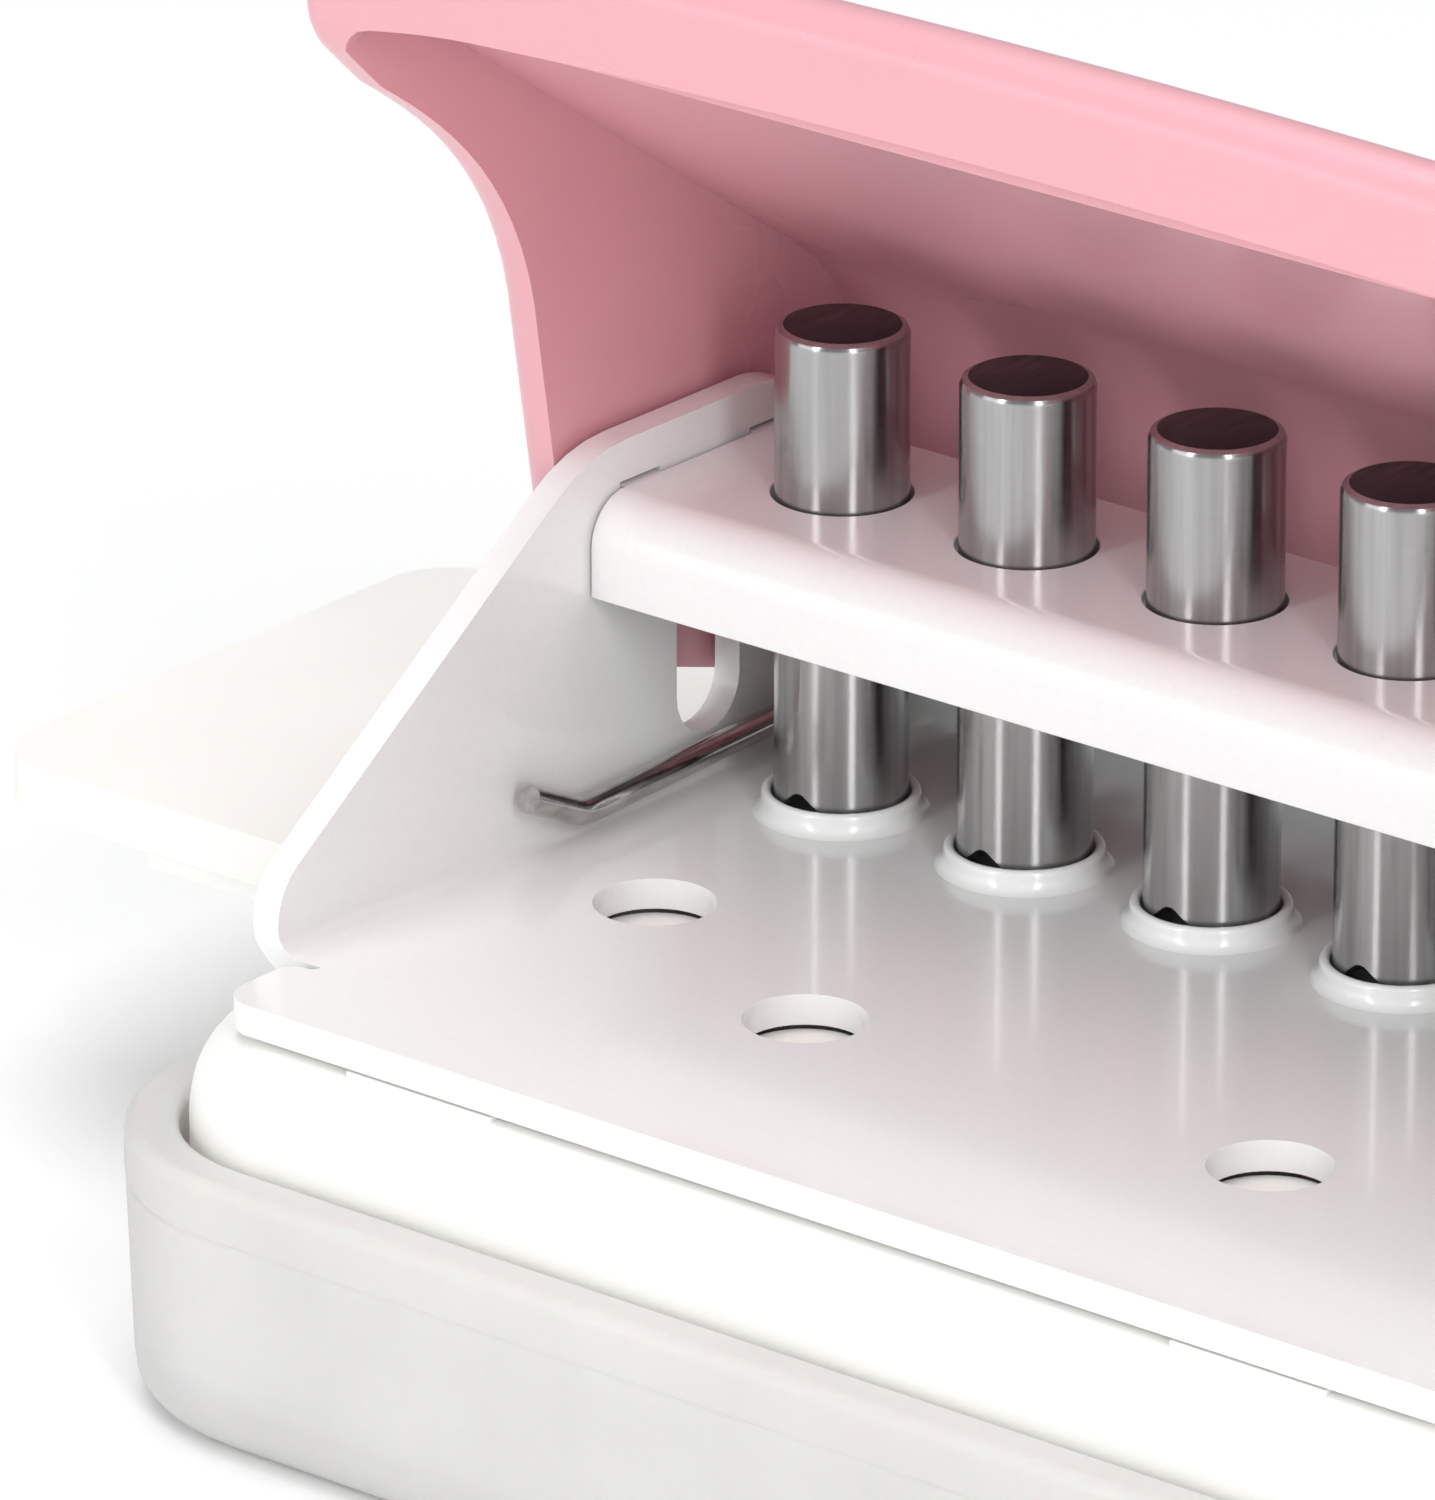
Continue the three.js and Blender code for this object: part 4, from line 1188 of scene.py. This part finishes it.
class PUNCH_OT_hardware(Operator):
    """Builds the axle, its clips, the die plate, the paper stop and the nuts"""

    bl_idname = "punch.hardware"
    bl_label = "Axle and Fixings"

    def execute(self, context):
        self.axle()
        for where in ("left", "right"):
            self.soft_edged("axle_clip_" + where, "snap_ring_" + where, 0.08 * MM)
        for node in ("die_plate", "paper_stop"):
            self.soft_edged(node, node + "_ground", 0.15 * MM)
        for node in STUDS:
            self.soft_edged(node, node.replace("stud_nut", "hex_nut"), 0.2 * MM)
        return {"FINISHED"}

    def soft_edged(self, node, name, radius):
        piece = cleaned_copy(node, name)
        round_edges(piece, radius, 2, 40)
        smooth(piece, 40)
        place(piece, node, "stand", "plated_steel", zinc())

    def axle(self):
        end = high("pivot_axle").x
        clip_near = low("axle_clip_right").x - SEAM
        clip_far = high("axle_clip_right").x + SEAM
        groove = AXLE_R - 0.5 * MM
        soft = 0.25 * MM
        half = [
            (AXLE_R, clip_near),
            (groove, clip_near),
            (groove, clip_far),
            (AXLE_R - 0.05 * MM, clip_far),
            (AXLE_R - 0.05 * MM, end - soft),
            (AXLE_R - soft, end),
            (0, end),
        ]
        profile = [(r, -x) for r, x in reversed(half)] + half
        axle = smooth(turned("pivot_axle_turned", (profile, "x", PIVOT.y, PIVOT.z), steps=48))
        place(axle, "pivot_axle", "stand", "plated_steel", zinc())


class PUNCH_OT_base(Operator):
    """Builds the moulded base with its rounded shoulder, pocket and guide channels"""

    bl_idname = "punch.base"
    bl_label = "Base"

    def execute(self, context):
        settings = context.scene.punch_stand
        top = PLATE - SHEET - 0.25 * MM
        outside = [(0.0, BASE_LOW.z), (0.0, top - settings.shoulder_drop)]
        for u, v in arc(0, 0, 1, 0, 90, 10):
            inset = settings.shoulder * (1 - u)
            outside.append((inset, top - settings.shoulder_drop * (1 - v)))
        body = self.stacked("moulded_base", outside)
        self.cut(body)
        combine(body, self.pegs(top), "UNION")
        round_edges(body, 0.22 * MM, 2, 40)
        smooth(body, 40)
        merge(body, self.tabs(top))
        place(body, "base", "stand", "base_plastic", white_plastic())
        return {"FINISHED"}

    def plan(self, inset):
        radius = bpy.context.scene.punch_stand.corner_radius
        return rectangle(
            BASE_LOW.x + inset,
            BASE_HIGH.x - inset,
            BASE_LOW.y + inset,
            BASE_HIGH.y - inset,
            max(0.5 * MM, radius - inset),
        )

    def stacked(self, name, levels):
        """A closed body from plan outlines of (inset, height), lowest first."""
        builder = bmesh.new()
        rings = []
        for inset, height in levels:
            rings.append([builder.verts.new((x, y, height)) for x, y in self.plan(inset)])
        for near, far in zip(rings, rings[1:]):
            for i in range(len(near)):
                j = (i + 1) % len(near)
                builder.faces.new((near[i], near[j], far[j], far[i]))
        builder.faces.new(list(reversed(rings[0])))
        builder.faces.new(rings[-1])
        return object_from(name, builder)

    def pegs(self, top):
        """A round peg under each locating hole of the frame."""
        peg_r = 2.7 * MM
        peg_low = low("die_plate").z - 3 * MM
        pegs = []
        for x, y in LOCATING_HOLES:
            pegs += [(circle(side * x, y, peg_r), "z", peg_low, top) for side in (-1, 1)]
        return prisms("pegs", *pegs)

    def cut(self, body):
        wall = 2.2 * MM
        die_low = low("die_plate")
        die_high = high("die_plate")
        deck = die_low.z - SEAM
        deck_under = deck - 3 * MM
        fit = 0.3 * MM
        underside = self.plan(wall)
        pocket = rectangle(
            die_low.x - fit, die_high.x + fit, die_low.y - fit, die_high.y + fit, 0.5 * MM
        )
        rear_deck = rectangle(-FAR, FAR, -6.15 * MM, FAR)
        past = 4.5 * MM
        chute = rectangle(PIN_XS[0] - past, PIN_XS[-1] + past, -5 * MM, 5 * MM, 1 * MM)
        combine(body, prisms("u", (underside, "z", BASE_LOW.z - 1 * MM, deck_under)), "DIFFERENCE")
        combine(body, prisms("p", (pocket, "z", deck, PLATE)), "DIFFERENCE")
        combine(body, prisms("r", (rear_deck, "z", die_high.z - 0.15 * MM, PLATE)), "DIFFERENCE")
        openings = [(chute, "z", BASE_LOW.z, deck + 1 * MM)]
        for at in STUDS.values():
            hole = circle(at.x, at.y, STUD_R + fit, 32)
            openings.append((hole, "z", BASE_LOW.z, deck + 1 * MM))
        combine(body, prisms("o", *openings), "DIFFERENCE")
        rail_low = GUIDE_LOW.z - 0.15 * MM
        inner_end = GUIDE_HIGH.x + fit
        channels = []
        for side in (-1, 1):
            near, far = sorted((side * 8.1 * MM, side * 13.3 * MM))
            channels.append((rectangle(-FAR, inner_end, near, far), "z", rail_low, deck + SEAM))
        combine(body, prisms("c", *channels), "DIFFERENCE")

    def tabs(self, top):
        """Two low pads under the front edge of the frame."""
        blocks = []
        for side in (-1, 1):
            near, far = sorted((side * 16.7 * MM, side * 24.1 * MM))
            plan = rectangle(near, far, PLATE_FRONT - 0.05 * MM, PLATE_FRONT + 1.2 * MM, 0.1 * MM)
            blocks.append((plan, "z", top - 0.4 * MM, top + 0.15 * MM))
        pads = prisms("tabs", *blocks)
        return smooth(round_edges(pads, 0.05 * MM, 2, 40), 40)


class PUNCH_OT_tray(Operator):
    """Builds the frosted chip tray with its ledge and rounded edges"""

    bl_idname = "punch.tray"
    bl_label = "Chip Tray"

    def execute(self, context):
        settings = context.scene.punch_stand
        wall = settings.tray_wall
        top = TRAY_HIGH.z
        ledge = BASE_LOW.z - 0.3 * MM
        floor = 1.8 * MM
        edge = 2.0 * MM
        rim = 0.55 * MM
        draft = 0.3 * MM
        levels = [(edge * (1 - u), edge * (1 + v)) for u, v in arc(0, 0, 1, -90, 0, 8)]
        levels = [(inset + draft, height) for inset, height in levels]
        levels += [(0.05 * MM, top - 2.6 * MM), (0.12 * MM, top - 2.4 * MM), (0.0, top - 2.2 * MM)]
        levels += [(rim * (1 - u), top - rim * (1 - v)) for u, v in arc(0, 0, 1, 0, 90, 5)]
        levels += [(wall - rim * (1 - u), top - rim * (1 - v)) for u, v in arc(0, 0, 1, 90, 0, 5)]
        levels += [(wall, ledge), (wall + 1.2 * MM, ledge), (wall + 1.2 * MM, floor)]
        builder = bmesh.new()
        rings = []
        for inset, height in levels:
            rings.append([builder.verts.new((x, y, height)) for x, y in self.plan(settings, inset)])
        for near, far in zip(rings, rings[1:]):
            for i in range(len(near)):
                j = (i + 1) % len(near)
                builder.faces.new((near[i], near[j], far[j], far[i]))
        builder.faces.new(list(reversed(rings[0])))
        builder.faces.new(rings[-1])
        tray = smooth(object_from("frosted_tray", builder), 50)
        plastic = material_for("frosted", frosted_pp, settings.tray_colour)
        place(tray, "chip_tray", "tray", "tray_plastic", plastic)
        return {"FINISHED"}

    def plan(self, settings, inset):
        radius = settings.corner_radius + settings.tray_wall + 0.4 * MM
        return rectangle(
            TRAY_LOW.x + inset,
            TRAY_HIGH.x - inset,
            TRAY_LOW.y + inset,
            TRAY_HIGH.y - inset,
            max(0.5 * MM, radius - inset),
        )


class PUNCH_OT_paper_guide(Operator):
    """Builds the paper guide with its rails and printed strokes"""

    bl_idname = "punch.paper_guide"
    bl_label = "Paper Guide"

    def execute(self, context):
        settings = context.scene.punch_stand
        top = GUIDE_HIGH.z
        under = top - 2.2 * MM
        right = BASE_LOW.x - 0.3 * MM
        corner = 3.4 * MM
        plan = rounded(
            [
                (GUIDE_LOW.x, GUIDE_LOW.y, corner),
                (right, GUIDE_LOW.y, 0.4 * MM),
                (right, GUIDE_HIGH.y, 0.4 * MM),
                (GUIDE_LOW.x, GUIDE_HIGH.y, corner),
            ]
        )
        plate = prisms("guide_plate", (plan, "z", under, top))
        rails = []
        for side in (-1, 1):
            near, far = sorted((side * 8.4 * MM, side * 13.0 * MM))
            strip = rectangle(right - 16 * MM, GUIDE_HIGH.x, near, far)
            rails.append((strip, "z", GUIDE_LOW.z, GUIDE_LOW.z + 1.35 * MM))
        combine(plate, prisms("rails", *rails), "UNION")
        round_edges(plate, 0.5 * MM, 4, 40)
        smooth(plate, 40)
        place(plate, "paper_guide", "guide", "base_plastic", white_plastic())
        ink = material_for("ink", pad_ink, settings.ink_colour)
        strokes = prisms("guide_strokes", *self.strokes(right, top))
        place(strokes, None, "guide", "base_plastic", ink)
        return {"FINISHED"}

    def strokes(self, right, top):
        """Short red strokes by the right edge of the plate: two thin ones and a thick one."""
        thickness = 0.02 * MM
        blocks = []
        for y, width, reach in ((10.1, 0.22, 2.6), (11.0, 0.22, 2.6), (7.9, 0.42, 2.0)):
            y0 = (y - width / 2) * MM
            y1 = (y + width / 2) * MM
            plan = rectangle(right - (reach + 0.8) * MM, right - 0.8 * MM, y0, y1)
            blocks.append((plan, "z", top - thickness, top + thickness))
        return blocks


class PUNCH_OT_studio(Operator):
    """Sets up the pale floor, the soft lights and the camera"""

    bl_idname = "punch.studio"
    bl_label = "Studio"

    def execute(self, context):
        settings = context.scene.punch_studio
        self.floor(settings)
        self.world(context.scene)
        self.lights()
        self.camera(context.scene, settings)
        context.scene.view_settings.view_transform = "Standard"
        return {"FINISHED"}

    def floor(self, settings):
        material, shader = material_named("Studio floor matt white")
        set_inputs(shader, {"Specular IOR Level": 0.2})
        cloud = object_noise(material, 0.2, 2)
        rgb = settings.floor_colour
        tones = two_tones(material, cloud, with_alpha(rgb, 0.995), with_alpha(rgb))
        connect(material, shader, Base_Color=tones, Roughness=spread(material, cloud, 0.7, 0.75))
        half = 3.0
        floor = prisms("studio_floor", (rectangle(-half, half, -half, half), "z", -0.01, 0.0))
        floor.data.materials.append(material)

    def world(self, scene):
        world = bpy.data.worlds.new("Studio")
        world.use_nodes = True
        background = world.node_tree.nodes["Background"]
        background.inputs["Color"].default_value = (0.97, 0.985, 1.0, 1)
        background.inputs["Strength"].default_value = 0.38
        scene.world = world

    def lights(self):
        target = Vector((0, 0, 0.025))
        softboxes = [
            ("Top softbox", (-0.1, 0.0, 1.0), 0.9, 0.9, 7, True),
            ("Front strip", (-0.12, -0.9, 0.35), 0.14, 0.8, 2.3, True),
            ("Right strip", (0.74, -0.5, 0.35), 0.14, 0.8, 2.6, True),
            ("Low softbox", (-0.5, -1.0, 0.12), 0.6, 0.5, 1.5, True),
            ("Fill", (0.8, -0.9, 0.7), 0.9, 0.9, 4.7, False),
        ]
        for name, at, width, height, power, mirrored in softboxes:
            light = bpy.data.lights.new(name, "AREA")
            light.shape = "RECTANGLE"
            light.size = width
            light.size_y = height
            light.energy = power
            lamp = bpy.data.objects.new(name, light)
            lamp.location = at
            lamp.visible_glossy = mirrored
            lamp.rotation_euler = (target - Vector(at)).to_track_quat("-Z", "Y").to_euler()
            bpy.context.scene.collection.objects.link(lamp)

    def camera(self, scene, settings):
        azimuth = settings.azimuth
        elevation = settings.elevation
        out = Vector(
            (
                math.sin(azimuth) * math.cos(elevation),
                -math.cos(azimuth) * math.cos(elevation),
                math.sin(elevation),
            )
        )
        aim = Vector((-28.87, -2.53, 19.69)) * MM
        camera = bpy.data.cameras.new("Camera")
        camera.lens = settings.lens
        camera.sensor_width = 36
        camera.clip_start = 0.01
        view = bpy.data.objects.new("Camera", camera)
        view.location = aim + out * settings.distance
        view.rotation_euler = (-out).to_track_quat("-Z", "Y").to_euler()
        scene.collection.objects.link(view)
        scene.camera = view


PIECE_OPERATORS = (
    PUNCH_OT_frame,
    PUNCH_OT_guide_bar,
    PUNCH_OT_pins,
    PUNCH_OT_handle,
    PUNCH_OT_springs,
    PUNCH_OT_hardware,
    PUNCH_OT_base,
    PUNCH_OT_tray,
    PUNCH_OT_paper_guide,
    PUNCH_OT_studio,
)

SETTINGS = {
    "punch_frame": PunchFrameSettings,
    "punch_pins": PunchPinSettings,
    "punch_handle": PunchHandleSettings,
    "punch_springs": PunchSpringSettings,
    "punch_stand": PunchStandSettings,
    "punch_studio": PunchStudioSettings,
}


class PUNCH_PT_panel(Panel):
    """Lists the settings and the pieces of the paper punch"""

    bl_label = "Paper Punch"
    bl_idname = "PUNCH_PT_panel"
    bl_space_type = "VIEW_3D"
    bl_region_type = "UI"
    bl_category = "Paper Punch"

    def draw(self, context):
        for name, group in SETTINGS.items():
            box = self.layout.box()
            box.label(text=name.replace("_", " ").title())
            for key in group.__annotations__:
                box.prop(getattr(context.scene, name), key)
        for operator in PIECE_OPERATORS:
            self.layout.operator(operator.bl_idname)


def register():
    for group in SETTINGS.values():
        bpy.utils.register_class(group)
    for name, group in SETTINGS.items():
        setattr(bpy.types.Scene, name, PointerProperty(type=group))
    for operator in PIECE_OPERATORS:
        bpy.utils.register_class(operator)
    bpy.utils.register_class(PUNCH_PT_panel)


def unregister():
    bpy.utils.unregister_class(PUNCH_PT_panel)
    for operator in reversed(PIECE_OPERATORS):
        bpy.utils.unregister_class(operator)
    for name in SETTINGS:
        delattr(bpy.types.Scene, name)
    for group in reversed(SETTINGS.values()):
        bpy.utils.unregister_class(group)


def main():
    register()
    for operator in PIECE_OPERATORS:
        group, name = operator.bl_idname.split(".")
        getattr(getattr(bpy.ops, group), name)()


if __name__ == "__main__":
    main()
